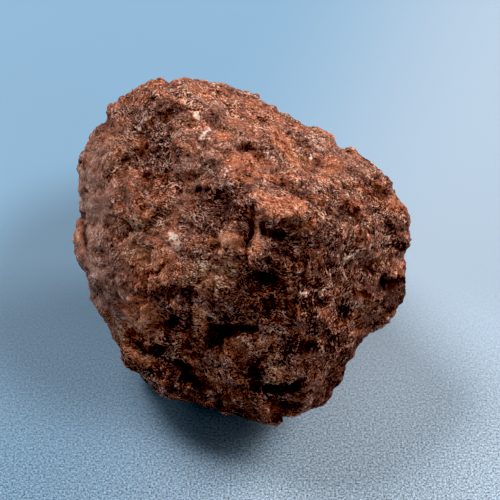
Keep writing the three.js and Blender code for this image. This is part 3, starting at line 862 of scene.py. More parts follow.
# stains on the show side, as ovals: place and half-size in mm, spin in degrees, strength
stains = {
    "rust": (  # orange iron oxide
        ((0.83, 0.55), (0.2, 0.7), 0, 0.7),
        ((-0.26, 4.65), (0.3, 0.22), 0, 0.9),
        ((-3.65, 3.0), (0.6, 0.4), 30, 0.5),
        ((-2.94, 7.76), (0.28, 0.32), 0, 0.8),
        ((-4.67, 6.63), (0.22, 0.28), 0, 0.7),
        ((-5.1, 8.6), (0.3, 0.16), 20, 0.7),
        ((-4.25, 8.85), (0.5, 0.28), 10, 0.85),
        ((-2.6, 9.0), (0.6, 0.2), 0, 0.6),
        ((-2.3, 6.5), (0.35, 0.35), 0, 0.6),
        ((2.75, 3.85), (0.42, 0.13), -20, 0.8),
        ((4.9, 4.48), (0.6, 0.35), -20, 0.75),
        ((4.2, 3.8), (0.35, 0.2), 0, 0.75),
        ((5.98, 3.4), (0.6, 0.22), -10, 0.6),
        ((8.6, 2.0), (0.3, 0.2), 0, 0.5),
        ((-3.18, -1.02), (0.25, 0.32), 0, 0.75),
        ((-4.4, -1.4), (1.3, 0.6), 20, 0.5),
        ((-1.93, -3.75), (0.33, 0.36), 0, 1.0),
        ((-5.6, -3.26), (0.35, 0.25), 20, 0.75),
        ((-1.8, -7.5), (0.5, 0.15), 0, 0.65),
        ((0.5, -0.66), (0.42, 0.08), 50, 0.7),
        ((1.67, -2.1), (0.26, 0.2), 0, 0.7),
        ((5.2, -4.1), (0.3, 0.2), 0, 0.65),
        ((8.25, -0.96), (0.35, 0.45), 0, 0.5),
        ((0.9, 7.0), (1.3, 0.8), -20, 0.35),
        ((-8.45, 0.6), (0.28, 1.1), 5, 0.55),
    ),
    "pale": (  # cream and white grains, and faint painted light on places the lamps leave too dark
        ((-2.0, 5.75), (0.2, 0.12), 40, 0.6),
        ((3.77, 4.83), (0.1, 0.09), 0, 1.0),
        ((5.56, 2.86), (0.6, 0.13), 5, 0.5),
        ((2.9, 2.26), (0.12, 0.1), 0, 0.8),
        ((1.55, 1.27), (0.24, 0.05), 0, 1.0),
        ((5.5, 1.48), (0.4, 0.09), 50, 0.45),
        ((7.6, 0.7), (0.4, 0.15), 0, 0.45),
        ((4.0, -3.1), (0.25, 0.12), -50, 0.6),
        ((2.1, -2.57), (0.14, 0.12), 0, 0.75),
        ((-1.93, -3.75), (0.24, 0.24), 0, 0.4),
        ((-5.03, -3.9), (0.6, 0.2), 30, 0.25),
        ((-5.0, -5.6), (0.25, 0.1), -35, 0.7),
        ((-5.75, -2.57), (0.2, 0.1), 0, 0.35),
        ((-3.18, -2.45), (0.14, 0.08), 50, 0.9),
        ((-1.8, -0.1), (0.5, 0.14), 0, 0.7),
        ((-1.8, -0.78), (0.22, 0.2), 0, 0.5),
        ((1.46, -8.25), (0.1, 0.1), 0, 1.0),
        ((3.9, -7.24), (0.45, 0.1), 60, 0.4),
        ((1.4, -4.6), (0.5, 0.14), 0, 0.35),
        ((8.3, -0.9), (0.2, 0.35), 0, 0.3),
        ((-4.3, -4.1), (0.4, 0.4), 20, 0.2),
        ((-5.8, -3.6), (0.4, 0.6), 10, 0.2),
        ((-6.0, 1.0), (0.6, 0.4), 0, 0.35),
        ((-0.7, 0.6), (0.6, 0.15), 15, 0.35),
        ((5.9, -0.4), (0.5, 0.35), 20, 0.3),
        ((-3.5, 0.1), (0.3, 0.3), 0, 0.3),
        ((-6.5, 2.5), (0.1, 0.1), 0, 0.8),
        ((-6.6, 2.1), (0.15, 0.08), 20, 0.7),
    ),
    "dark": (  # blackened crust and iron stain, and painted shade along the lower edge, under ledges and in hollows
        ((-4.7, 8.0), (0.4, 0.4), 0, 0.25),
        ((-1.45, 6.98), (0.6, 0.45), 0, 0.45),
        ((-4.3, 5.2), (0.9, 0.6), 20, 0.2),
        ((-6.2, 6.8), (0.5, 0.35), 30, 0.25),
        ((-2.2, 3.15), (0.35, 0.25), 0, 0.6),
        ((7.0, 0.9), (0.5, 0.3), 0, 0.4),
        ((-6.9, -3.3), (0.15, 0.6), 20, 0.6),
        ((4.3, -2.75), (0.5, 0.32), 0, 0.6),
        ((5.2, -5.9), (1.5, 0.3), 52, 0.3),
        ((-1.0, -6.0), (5.6, 2.8), -10, 0.06),
        ((-6.6, 0.3), (0.5, 2.4), 0, 0.25),
        ((-8.05, 0.9), (0.09, 1.0), 8, 0.8),
        ((7.6, 1.2), (1.2, 1.6), 0, 0.25),
        ((4.1, -1.9), (0.9, 1.4), 0, 0.5),
        ((4.3, -3.6), (1.1, 1.1), 0, 0.5),
        ((5.1, -5.0), (0.6, 1.0), -20, 0.6),
        ((3.0, -0.8), (1.0, 0.5), 0, 0.55),
        ((1.2, -0.7), (0.6, 0.3), 0, 0.5),
        ((4.6, 2.9), (0.6, 0.4), 0, 0.35),
        ((-4.5, 3.4), (0.8, 0.7), 0, 0.4),
        ((-3.0, -6.9), (0.6, 0.6), 0, 0.6),
        ((-0.6, -8.2), (0.5, 0.4), 0, 0.6),
        ((2.2, -8.2), (0.6, 0.4), 0, 0.5),
        ((1.2, -6.3), (0.35, 0.35), 0, 0.5),
        ((-0.6, -4.6), (0.4, 0.3), 0, 0.4),
        ((3.6, -7.3), (0.9, 0.6), 0, 0.3),
        ((-0.5, -1.8), (0.6, 0.4), 0, 0.3),
        ((1.4, -2.7), (0.6, 0.5), 0, 0.35),
        ((3.2, -2.7), (0.7, 0.5), 0, 0.4),
    ),
    "dull": (  # grey-brown handled skin
        ((-7.7, 1.6), (1.1, 4.4), 0, 0.8),
        ((-6.9, -1.3), (1.1, 1.8), 15, 0.75),
        ((6.3, 0.2), (1.6, 1.6), 0, 0.3),
        ((5.6, -5.6), (1.6, 0.4), 52, 0.5),
        ((-1.4, 7.0), (0.7, 0.6), 0, 0.5),
    ),
    "ochre": (  # yellowish weathering
        ((-1.6, -1.3), (1.4, 1.0), 0, 0.5),
        ((-5.3, -0.4), (1.0, 0.7), 0, 0.45),
        ((-1.93, -3.75), (0.4, 0.4), 0, 1.0),
        ((-2.94, 7.76), (0.3, 0.3), 0, 0.7),
        ((2.8, 4.9), (0.9, 0.5), -50, 0.4),
        ((5.5, 1.5), (0.5, 0.3), 50, 0.5),
        ((-0.6, 0.5), (0.9, 0.4), 10, 0.7),
    ),
    "upright": (  # where the grain runs up the stone instead of across it
        ((-7.4, 0.8), (1.6, 5.2), 0, 1.0),
        ((-5.6, -1.5), (1.2, 2.6), 10, 0.6),
        ((5.4, -1.8), (2.2, 4.2), -20, 1.0),
        ((7.4, 1.0), (1.8, 2.4), 0, 1.0),
        ((4.6, -6.2), (1.4, 2.4), -25, 1.0),
    ),
    "crisp": (  # coarse places, where light grains stand out of dark ground
        ((-1.8, -5.6), (4.6, 2.6), -10, 0.9),
        ((2.6, -3.4), (3.4, 4.0), 0, 0.8),
        ((-0.6, 2.2), (1.6, 1.4), 0, 0.8),
        ((6.2, 1.2), (2.4, 2.6), 0, 0.8),
        ((-3.6, 6.6), (2.2, 1.8), 0, 0.8),
    ),
    "wornAndPaintedLight": (  # rubbed, dusty places, and painted light where the lamps leave the stone too dark
        ((-4.2, 1.8), (2.6, 2.6), 0, 0.25),
        ((-5.6, 4.8), (1.6, 1.6), 0, 0.25),
        ((-7.6, 2.0), (1.4, 4.2), 0, 0.7),
        ((-1.5, 6.0), (2.2, 2.0), 0, 0.25),
        ((-1.6, -1.0), (1.5, 0.9), 0, 0.3),
        ((2.0, 2.2), (1.4, 0.6), 0, 0.1),
        ((-5.6, -3.9), (1.1, 0.8), 20, 1.0),
        ((-4.6, -4.4), (0.7, 0.6), 0, 0.7),
        ((-5.0, 6.5), (1.0, 0.6), 0, 0.8),
        ((-6.3, 1.0), (0.5, 0.6), 0, 0.9),
        ((-6.9, -3.0), (0.7, 0.9), 0, 0.8),
        ((-2.9, 4.3), (0.9, 0.6), 0, 0.6),
        ((1.3, 4.9), (0.5, 0.4), 0, 0.6),
        ((-0.6, 3.0), (0.5, 0.4), 0, 0.6),
        ((-3.4, 0.2), (0.5, 0.4), 0, 0.5),
        ((-1.5, 0.2), (0.4, 0.4), 0, 0.4),
        ((3.4, 0.4), (0.9, 0.5), 0, 0.4),
        ((-2.0, -3.6), (0.5, 1.1), 0, 0.7),
        ((2.2, -3.6), (0.6, 0.5), 0, 0.4),
        ((1.3, -4.6), (0.7, 0.4), 0, 0.6),
        ((-2.9, -4.1), (0.5, 0.4), 20, 0.8),
        ((4.3, -0.4), (0.5, 0.4), 0, 0.8),
        ((6.6, -0.5), (0.7, 0.25), 20, 0.8),
        ((-0.8, -3.3), (0.5, 0.4), 0, 0.7),
        ((-0.8, 3.3), (0.6, 0.4), -20, 0.9),
        ((-4.3, -3.4), (0.5, 0.5), 20, 0.9),
        ((-6.5, 6.9), (0.6, 0.5), 30, 0.8),
        ((-4.4, -5.6), (0.5, 0.3), -30, 0.8),
        ((-2.0, 3.9), (0.7, 0.4), 10, 0.9),
        ((0.7, -3.4), (0.35, 0.3), 0, 1.0),
        ((3.0, -4.0), (0.5, 0.3), 0, 0.9),
        ((2.3, -3.3), (0.4, 0.3), 0, 0.8),
        ((4.4, -1.2), (0.5, 0.3), 0, 0.8),
        ((-0.7, 0.4), (0.7, 0.35), 0, 0.6),
        ((0, 2.5), (0.4, 0.3), 0, 0.7),
        ((-1.3, -5.6), (0.5, 0.4), 0, 0.6),
        ((3.3, -5.6), (0.6, 0.3), 0, 0.6),
        ((-5.9, -2.7), (0.5, 0.5), 0, 0.8),
    ),
}

# faces and lumps that more than one stain covers, as corners in mm
faces = {
    "lip": (
        (-6.51, -4.53), (-6.09, -4.74), (-5.57, -5.21), (-4.95, -5.57), (-4.32, -5.89),
        (-4.69, -6.15), (-5.31, -5.94), (-5.89, -5.52), (-6.41, -5.0),
    ),
    "wall": (
        (-6.04, -3.75), (-5.63, -3.13), (-4.9, -2.76), (-4.27, -2.71), (-4.32, -3.44),
        (-4.69, -4.17), (-5.0, -4.69), (-5.57, -4.48), (-5.89, -4.17),
    ),
    "sill": (
        (-1.41, 0.52), (-0.94, 0.83), (-0.42, 0.99), (0.1, 0.83),
        (0.36, 0.52), (0, 0.21), (-0.63, 0.16), (-1.15, 0.21),
    ),
    "nodule": (
        (1.15, -6.35), (1.56, -6.04), (2.34, -5.94), (2.97, -6.35),
        (3.07, -6.77), (2.5, -7.03), (1.67, -7.03), (1.2, -6.77),
    ),
    "crownSpot": ((-2.92, 7.97), (-2.6, 7.71), (-2.71, 7.5), (-2.97, 7.66)),
    "footSpot": ((-0.21, -6.51), (0.21, -6.46), (0.05, -6.88), (-0.36, -6.98)),
    "flankSpot": ((3.7, -6.41), (4.32, -6.09), (4.17, -6.56), (3.8, -6.77)),
    "sideSpot": ((5.73, -4.32), (6.15, -3.96), (6.61, -4.22), (6.15, -4.58)),
}

# stains with corners all round them, in mm, and their strength
stainAreas = {
    "rust": (
        (faces["lip"], 1.0),
        (faces["wall"], 0.85),
        (((-1.51, -5.31), (-0.94, -5.0), (-0.21, -4.53), (0.36, -5.0), (0.52, -5.52), (0, -5.83),
          (-0.83, -5.63)), 0.75),
        (faces["footSpot"], 1.0),
        (((-3.13, -7.03), (-2.55, -6.93), (-2.45, -7.24), (-3.02, -7.29)), 1.0),
        (((1.46, -4.53), (2.14, -4.43), (1.93, -4.79), (1.46, -4.9)), 0.95),
        (faces["sideSpot"], 0.95),
        (faces["flankSpot"], 1.0),
        (((-2.34, -2.71), (-1.72, -2.92), (-1.67, -4.06), (-2.14, -4.74), (-2.45, -3.96),
          (-2.4, -3.23)), 0.6),
        (((0.83, 2.45), (1.46, 2.81), (2.29, 2.86), (3.23, 2.71), (3.59, 2.14), (3.13, 1.72), (2.19, 1.61),
          (0.94, 1.61), (0.68, 2.03)), 0.7),
        (((-6.3, -2.6), (-5.4, -2.3), (-4.3, -2.6), (-3.9, -3.6), (-4.2, -4.9), (-5.2, -4.9),
          (-6.0, -4.2)), 0.8),
        (((-3.2, -4.3), (-2.5, -4.2), (-2.0, -5.0), (-2.4, -6.0), (-3.3, -5.6)), 0.5),
        (((-2.6, -6.3), (-1.2, -6.2), (-0.6, -6.8), (-1.6, -7.3), (-2.6, -7.2)), 0.5),
        (faces["sill"], 0.8),
        (((-5.26, 1.98), (-4.9, 2.34), (-4.53, 2.08), (-4.48, 1.56), (-4.9, 1.46), (-5.26, 1.61)), 0.9),
        (((-1.35, 6.15), (-0.78, 6.2), (-0.52, 5.89), (-0.94, 5.63), (-1.41, 5.78)), 0.9),
        (((-0.21, 5.0), (0.52, 4.9), (1.15, 4.84), (1.3, 4.53), (0.63, 4.38), (-0.1, 4.53)), 0.75),
        (((0.21, 3.75), (0.78, 3.85), (0.83, 3.59), (0.31, 3.54)), 0.9),
        (((1.3, 3.85), (1.88, 3.91), (2.08, 3.7), (1.56, 3.59)), 0.9),
        (((1.56, 6.15), (2.19, 6.25), (2.71, 5.47), (3.02, 4.79), (2.6, 4.69), (1.98, 5.31)), 0.6),
        (((7.4, 2.4), (8.23, 2.45), (8.54, 1.98), (8.18, 1.77), (7.6, 1.98)), 0.8),
        (((7.92, -0.42), (8.49, -0.63), (8.59, -1.15), (8.13, -1.25), (7.81, -0.94)), 0.5),
        (((1.15, -8.49), (2.34, -8.44), (2.29, -8.85), (1.25, -8.8)), 0.5),
        (((1.3, -6.5), (1.7, -6.2), (2.6, -6.3), (2.9, -6.7), (2.0, -6.9)), 0.5),
    ),
    "pale": (
        (((-2.4, 7.19), (-2.14, 7.24), (-2.03, 6.93), (-2.14, 6.61), (-2.29, 6.77)), 1.0),
        (((-1.77, 6.35), (-1.46, 6.41), (-1.67, 6.04), (-1.93, 5.83), (-2.03, 5.99)), 1.0),
        (((-3.75, 0.94), (-3.44, 0.89), (-3.23, 0.57), (-3.49, 0.42), (-3.75, 0.52), (-3.65, 0.73)), 1.0),
        (((-3.33, 0.31), (-3.13, 0.36), (-3.13, 0), (-3.28, -0.1)), 1.0),
        (faces["crownSpot"], 0.7),
        (((0.83, -4.48), (1.2, -4.53), (1.25, -4.9), (0.89, -4.84)), 0.6),
    ),
    # painted shade along the lower edge, under ledges and in crevices, with real dark crust among it
    "dark": (
        (((-4.79, -2.14), (-4.17, -1.88), (-3.33, -1.72), (-2.6, -1.98), (-2.08, -2.24), (-2.6, -2.55),
          (-3.33, -2.4), (-4.01, -2.6), (-4.69, -2.66)), 0.6),
        (((-4.22, -2.76), (-3.33, -2.86), (-2.5, -3.07), (-2.34, -3.91), (-2.45, -4.69), (-3.13, -5.21),
          (-3.85, -4.95), (-4.17, -4.17), (-4.32, -3.39)), 0.35),
        (((-1.82, -2.6), (-0.94, -2.29), (0, -2.4), (1.15, -2.19), (2.34, -2.5), (3.13, -2.19), (4.06, -2.6),
          (3.75, -3.54), (3.13, -4.17), (1.15, -3.91), (0, -3.75), (-1.3, -3.54)), 0.4),
        (((2.3, -5.0), (2.6, -4.5), (3.13, -4.38), (4.06, -4.9), (4.1, -5.3), (3.5, -5.4), (2.6, -5.4)), 0.9),
        (((-4.69, -5.89), (-4.27, -5.73), (-3.54, -5.78), (-3.18, -6.15), (-3.23, -6.67), (-3.75, -6.98),
          (-4.38, -6.67), (-4.69, -6.25)), 0.35),
        (((0.94, 1.51), (3.13, 1.51), (3.6, 1.3), (3.3, 0.5), (2.9, 0), (2.6, -0.4), (2.08, -0.63),
          (1.15, 0.31)), 0.1),
        (((0.31, -0.83), (1.15, -0.63), (2.34, -0.73), (3.13, -1.3), (2.92, -2.08), (1.56, -2.6),
          (0.52, -2.4), (0.16, -1.67)), 0.55),
        (((-0.94, -7.19), (0.52, -7.5), (1.15, -7.81), (0.94, -8.44), (-0.21, -8.54), (-0.94, -8.02)), 0.35),
        (((-6.15, -5.52), (-5.47, -6.15), (-4.69, -6.88), (-4.01, -7.34), (-4.17, -7.6), (-4.9, -7.19),
          (-5.73, -6.35)), 0.45),
        (((4.69, -6.35), (5.47, -5.31), (5.99, -4.95), (5.83, -5.83), (5.21, -7.03), (4.48, -7.92),
          (4.06, -8.07), (4.17, -7.29)), 0.25),
        (((-2.6, 3.33), (-1.82, 3.33), (-0.94, 3.13), (0, 2.81), (0.26, 2.29), (0, 1.77), (-0.63, 1.15),
          (-1.2, 1.04), (-1.46, 1.51), (-1.2, 2.08), (-1.88, 2.55), (-2.5, 2.92)), 0.35),
        (((4.53, 1.82), (5.1, 1.46), (5.47, 0.78), (5.21, 0), (4.69, 0.26), (4.27, 0.94)), 0.3),
        (((5.83, -0.83), (6.35, -0.31), (7.19, -0.1), (7.55, -0.63), (6.88, -1.15), (6.15, -1.15)), 0.15),
        (((7.2, -0.9), (7.6, -1.3), (8.1, -1.5), (8.7, -1.3), (8.7, -1.8), (8.2, -2.0), (7.6, -2.2),
          (7.2, -1.9)), 1.0),
        (((6.7, -1.7), (7.2, -2.1), (8.3, -2.3), (8.5, -2.7), (7.9, -3.3), (7.2, -3.1), (6.9, -2.4)), 0.6),
        (((0.3, -2.2), (1.1, -2.2), (1.9, -2.7), (1.9, -3.4), (1.3, -3.5), (0.4, -3.0)), 0.9),
        (((7.6, -1.6), (8.7, -1.5), (8.9, -2.6), (8.1, -3.3), (7.5, -2.9)), 1.0),
        (((6.3, -1.5), (7.2, -1.6), (7.5, -2.3), (6.8, -2.5), (6.3, -2.1)), 0.7),
        (((7.0, -0.8), (7.7, -0.9), (7.8, -1.4), (7.1, -1.5)), 0.7),
        (((1.9, -5.3), (2.6, -5.3), (2.6, -5.8), (2.0, -5.9)), 0.7),
        (((1.8, -8.3), (2.6, -8.2), (2.7, -8.8), (1.9, -8.9)), 0.7),
        (((4.9, -4.4), (5.5, -4.5), (5.5, -5.1), (4.9, -5.2)), 0.9),
        (((-4.6, -6.0), (-4.0, -6.1), (-4.0, -6.7), (-4.6, -6.6)), 0.6),
        (((-2.5, -6.8), (-1.8, -6.8), (-1.7, -8.0), (-2.4, -8.1)), 0.6),
        (((2.7, -7.5), (3.4, -7.4), (3.3, -8.1), (2.7, -8.1)), 0.6),
        (((1.2, -6.9), (1.9, -7.0), (1.8, -7.9), (1.1, -7.8)), 0.6),
        (((-1.2, -7.4), (-0.4, -7.5), (-0.4, -8.1), (-1.1, -8.0)), 0.6),
        (((3.4, 1.4), (4.1, 1.4), (4.1, 0.6), (3.4, 0.7)), 0.5),
        (((4.0, 2.7), (4.8, 2.7), (4.8, 2.1), (4.1, 2.1)), 0.45),
        (((3.3, -3.0), (4.0, -3.1), (4.0, -3.8), (3.4, -3.8)), 0.8),
        (((2.4, -6.9), (3.0, -6.9), (3.1, -7.5), (2.4, -7.4)), 0.5),
        (((4.3, -6.0), (4.7, -6.3), (5.6, -5.6), (6.1, -5.0), (5.9, -5.9), (5.0, -7.5), (4.2, -8.4),
          (3.6, -8.3), (4.0, -7.2)), 0.65),
        (((-6.9, -2.3), (-6.2, -2.3), (-6.1, -3.1), (-6.8, -3.2)), 0.5),
        (((7.8, 0.7), (8.5, 0.6), (8.4, 0), (7.8, 0.1)), 0.6),
        (((6.9, 2.8), (7.7, 2.7), (7.8, 2.2), (7.0, 2.2)), 0.5),
        (((4.6, -4.4), (5.2, -4.5), (5.6, -5.0), (5.0, -5.4), (4.6, -5.0)), 0.7),
        (((-4.2, -6.6), (-3.3, -6.7), (-3.2, -7.2), (-3.8, -7.5)), 0.6),
        (((4.1, -6.6), (4.7, -6.8), (4.5, -7.5), (4.0, -7.3)), 0.6),
        (((-0.6, -8.3), (0.6, -8.3), (0.8, -8.9), (-0.4, -8.9)), 0.8),
        (((-3.3, -4.4), (-2.6, -4.5), (-2.6, -5.2), (-3.2, -5.1)), 0.7),
        (((6.1, -0.9), (6.9, -0.9), (7.1, -1.5), (6.5, -1.8), (6.0, -1.5)), 0.5),
        (((4.1, 1.4), (4.8, 1.3), (5.4, 1.1), (5.3, 0.6), (4.6, 0.6), (4.1, 0.9)), 0.5),
        (((1.0, 3.5), (1.6, 3.5), (1.9, 3.0), (1.2, 2.9)), 0.3),
        (((3.4, 2.0), (4.0, 2.0), (4.2, 1.5), (3.5, 1.4)), 0.35),
        (((-0.3, 4.2), (0.4, 4.2), (0.4, 3.7), (-0.3, 3.7)), 0.3),
        (((-2.6, 2.6), (-1.8, 2.7), (-1.6, 2.2), (-2.4, 2.1)), 0.35),
        (((-8.4, 5.2), (-7.7, 5.0), (-7.6, 4.2), (-8.3, 4.2)), 0.3),
        (((6.7, 3.2), (7.5, 3.0), (7.8, 2.5), (7.3, 2.3), (6.7, 2.6)), 0.6),
        (((5.1, 2.3), (5.7, 2.6), (6.4, 2.2), (6.2, 1.5), (5.6, 1.2), (5.2, 0.6), (4.8, 0.9),
          (4.9, 1.6)), 0.6),
        (((1.2, -0.1), (1.8, 0.1), (2.6, -0.1), (3.2, -0.6), (2.6, -1.1), (1.5, -1.0), (0.8, -0.8),
          (0.8, -0.4)), 0.75),
        (((3.1, -2.3), (3.6, -2.4), (4.1, -2.3), (4.3, -2.9), (3.8, -3.6), (3.2, -3.3), (3.0, -2.7)), 0.85),
        (((4.9, -2.5), (5.4, -2.7), (5.7, -3.4), (5.4, -4.0), (5.0, -3.4)), 0.7),
        (((0, -3.9), (0.8, -3.9), (0.9, -4.2), (0.2, -4.4), (-0.2, -4.2)), 1.0),
        (((5.6, -4.5), (6.1, -4.4), (6.4, -4.8), (5.9, -5.6), (5.3, -6.6), (4.9, -6.3), (5.3, -5.4)), 0.6),
        (((-1.0, 1.9), (-0.5, 2.0), (-0.3, 1.5), (-0.7, 1.3), (-1.0, 1.5)), 0.6),
    ),
    "ochre": (
        (faces["nodule"], 0.4),
        (faces["crownSpot"], 0.7),
    ),
    "dull": (
        (((4.1, -6.0), (4.7, -6.3), (5.6, -5.6), (6.1, -5.0), (5.9, -5.9), (5.0, -7.5), (4.2, -8.4),
          (3.6, -8.3), (4.0, -7.2)), 0.6),
    ),
    # lighter faces: painted light on facets that catch the lamps, with rubbed wear in part
    "wornAndPaintedLight": (
        (faces["lip"], 0.5),
        (faces["wall"], 0.5),
        (faces["sill"], 0.3),
        (faces["nodule"], 0.15),
        (faces["footSpot"], 0.6),
        (faces["flankSpot"], 0.6),
        (faces["sideSpot"], 0.5),
    ),
}

# stains drawn through places: half width in mm and strength
stainLines = {
    # painted shade in the crack above the lip, under the nodule and along the lower edge
    "dark": (
        (((-5.8, -4.7), (-5.2, -5.0), (-4.7, -5.3), (-3.9, -5.6), (-3.2, -5.9), (-2.8, -6.3),
          (-2.8, -6.8)), 0.12, 1.0),
        (((-3.0, -5.6), (-2.4, -5.5), (-1.8, -5.6)), 0.12, 0.8),
        (((-3.0, -7.6), (-1.5, -8.2), (0, -8.7), (1.5, -8.8), (2.6, -8.4), (3.6, -7.9)), 0.35, 0.6),
        (((-0.2, -7.1), (0.4, -7.3), (1.1, -7.3)), 0.12, 0.7),
    ),
    "pale": (
        (((5.5, -0.5), (5.8, -0.3), (6.1, 0), (6.5, 0.1), (6.9, 0.3)), 0.13, 1.0),
        (((5.5, -0.7), (5.9, -0.6)), 0.12, 0.6),
        (((3.2, -2.15), (3.6, -2.15), (4.0, -2.05), (4.5, -1.95)), 0.1, 1.0),
        (((2.19, 6.35), (2.4, 5.83), (2.71, 5.36), (3.07, 4.79), (3.33, 4.32)), 0.13, 0.42),
        (((2.76, 6.3), (3.28, 6.04), (3.91, 5.68), (4.27, 5.21), (4.69, 4.84)), 0.12, 0.38),
        (ribs["slope"], 0.09, 0.55),
        (((-1.88, 4.22), (-1.61, 4.48)), 0.08, 0.7),
        (((1.35, 5.05), (1.67, 4.69), (1.88, 4.48)), 0.16, 0.6),
        (((-3.13, 8.75), (-2.81, 8.33), (-2.55, 8.02)), 0.08, 0.6),
        (((5.83, -1.98), (5.57, -2.6), (5.26, -3.39)), 0.1, 0.5),
        (((5.68, -1.61), (5.47, -2.14), (5.31, -2.45)), 0.09, 0.5),
        (ribs["flankThin"], 0.09, 0.5),
        (((5.1, -4.69), (4.43, -5.63), (4.01, -6.35)), 0.08, 0.4),
        (ribs["flank"], 0.12, 0.5),
        (((0.52, -3.18), (0.78, -3.07), (0.94, -3.33), (0.83, -3.65), (0.52, -3.75)), 0.09, 0.55),
        (ribs["crease"], 0.12, 0.45),
        (ribs["facet"], 0.09, 0.8),
        (((-0.16, 2.55), (0.05, 2.55)), 0.09, 0.9),
    ),
    "rust": (
        (ribs["rusty"], 0.13, 1.0),
        (((0.83, 0.78), (0.68, 0.21), (0.57, -0.42), (0.31, -0.94)), 0.2, 0.8),
    ),
}

# every side has these too: size in mm of the patches, where the soft noise starts them and where they're full
patches = {
    "rust": {"size": 1.3, "from": 0.35, "to": 0.80, "strength": 0.65},
    "dark": {"size": 1.6, "from": 0.15, "to": 0.70, "strength": 0.75},
    "pale": {"size": 0.38, "from": 0.66, "to": 0.86, "strength": 0.60},
    "dull": {"size": 3.2, "from": 0.15, "to": 0.60, "strength": 0.40},
    "ochre": {"size": 2.1, "from": 0.20, "to": 0.70, "strength": 0.50},
    "upright": {"size": 4.2, "from": -0.05, "to": 0.15, "strength": 1.0},
    "crisp": {"size": 2.4, "from": -0.10, "to": 0.40, "strength": 0.9},
    "wornAndPaintedLight": {"size": 2.6, "from": 0.10, "to": 0.70, "strength": 0.30},
}
showSideShare = 0.5  # how much of them is left where the listed stains are


def paintStone(obj):
    points = pointsOf(obj)
    edges, counts = neighboursOf(obj)
    outward = broadNormals(obj, edges, counts, "stains")
    facing = shownShare(outward, "stains")
    seen = seenPlaces(points)
    for k, (name, dabs) in enumerate(stains.items()):
        patch = patches[name]
        coat = smoothStep(softNoise(points, patch["size"], salts["stains"] + k), patch["from"], patch["to"])
        coat *= patch["strength"] * (1 - (1 - showSideShare) * facing)
        for at, half, spin, strength in dabs:
            coat = np.maximum(coat, ovalMask(seen, at, half, spin, softEdges["stain"]) * strength * facing)
        for corners, strength in stainAreas.get(name, ()):
            coat = np.maximum(coat, areaMask(seen, corners, softEdges["stainArea"]) * strength * facing)
        for places, half, strength in stainLines.get(name, ()):
            coat = np.maximum(coat, lineMask(seen, places, half) * strength * facing)
        keepAttribute(obj, name, coat)
    # pit darkens the scattered pits and the carved dents, gouges and cracks by their depth: painted shade in
    # hollows
    pits = np.zeros(len(points))
    for pit, mask in pitMasks(points, outward):
        pits = np.maximum(pits, mask * pit["shade"])
    for mask, depth, dig in showSideCuts(seen):
        pits = np.maximum(pits, mask * facing * min(1, max(0, depth) / stoneShape["shadeDepth"]))
    keepAttribute(obj, "pit", pits)
    print("stains laid")


stoneFinish = {
    "brown": (
        (0.0, (0.019, 0.0095, 0.0085)),
        (0.14, (0.049, 0.0212, 0.0178)),
        (0.28, (0.107, 0.0445, 0.035)),
        (0.47, (0.215, 0.088, 0.060)),
        (0.66, (0.38, 0.168, 0.114)),
        (0.82, (0.58, 0.30, 0.22)),
        (1.0, (0.88, 0.60, 0.48)),
    ),
    "rust": (
        (0.0, (0.038, 0.014, 0.0095)),
        (0.14, (0.096, 0.030, 0.018)),
        (0.28, (0.19, 0.057, 0.030)),
        (0.47, (0.34, 0.105, 0.052)),
        (0.66, (0.55, 0.180, 0.092)),
        (0.82, (0.74, 0.275, 0.150)),
        (1.0, (0.93, 0.47, 0.30)),
    ),
    "dull": (
        (0.0, (0.026, 0.009, 0.007)),
        (0.28, (0.110, 0.044, 0.031)),
        (0.47, (0.24, 0.112, 0.082)),
        (0.66, (0.36, 0.195, 0.150)),
        (0.82, (0.47, 0.30, 0.25)),
        (1.0, (0.62, 0.50, 0.45)),
    ),
    "ochre": (
        (0.0, (0.015, 0.0075, 0.0055)),
        (0.28, (0.095, 0.040, 0.025)),
        (0.47, (0.23, 0.085, 0.038)),
        (0.66, (0.42, 0.19, 0.095)),
        (0.82, (0.64, 0.37, 0.22)),
        (1.0, (0.90, 0.70, 0.50)),
    ),
    "cream": (1.0, 0.75, 0.61),
    "creamFrom": {"pale": (0.3, 0.85), "tone": (0.55, 0.85)},  # where it starts and is full
    "middle": 0.48,  # of the ramps above
    "roughness": (0.9, 0.34),  # of the ground and of a glinting grain
    "glint": (0.985, 0.005),  # share of the grains that don't glint, and how soft the step is
    "specular": 0.04,
    "bump": 0.9,
    "bumpDepth": 0.07,  # mm
    "bumpShares": {"fine": 0.4, "crevice": -0.2, "vein": 0.12},
}

# how the tone follows the relief and the stains: nick, hollow and pit darken the hollows as painted shade,
# with darker mineral in part, and nick lightens the tips as painted light, with rubbed edges in part
toneShares = {"nick": -2.0, "hollow": -0.12, "pit": -0.22, "dark": -0.42, "wornAndPaintedLight": 0.20, "pale": 0.5}

# the lie of the grain on most of the stone and where it stands upright, its bends to the mm and how strong
# they are, and its stretch: along its lie, over it and into the stone
grainLie = {
    "lying": math.radians(22),
    "standing": math.radians(-62),
    "bends": 0.7,
    "bendStrength": 1.1,
    "bendDetail": 1,
    "stretch": (0.45, 1.0, 0.8),
}

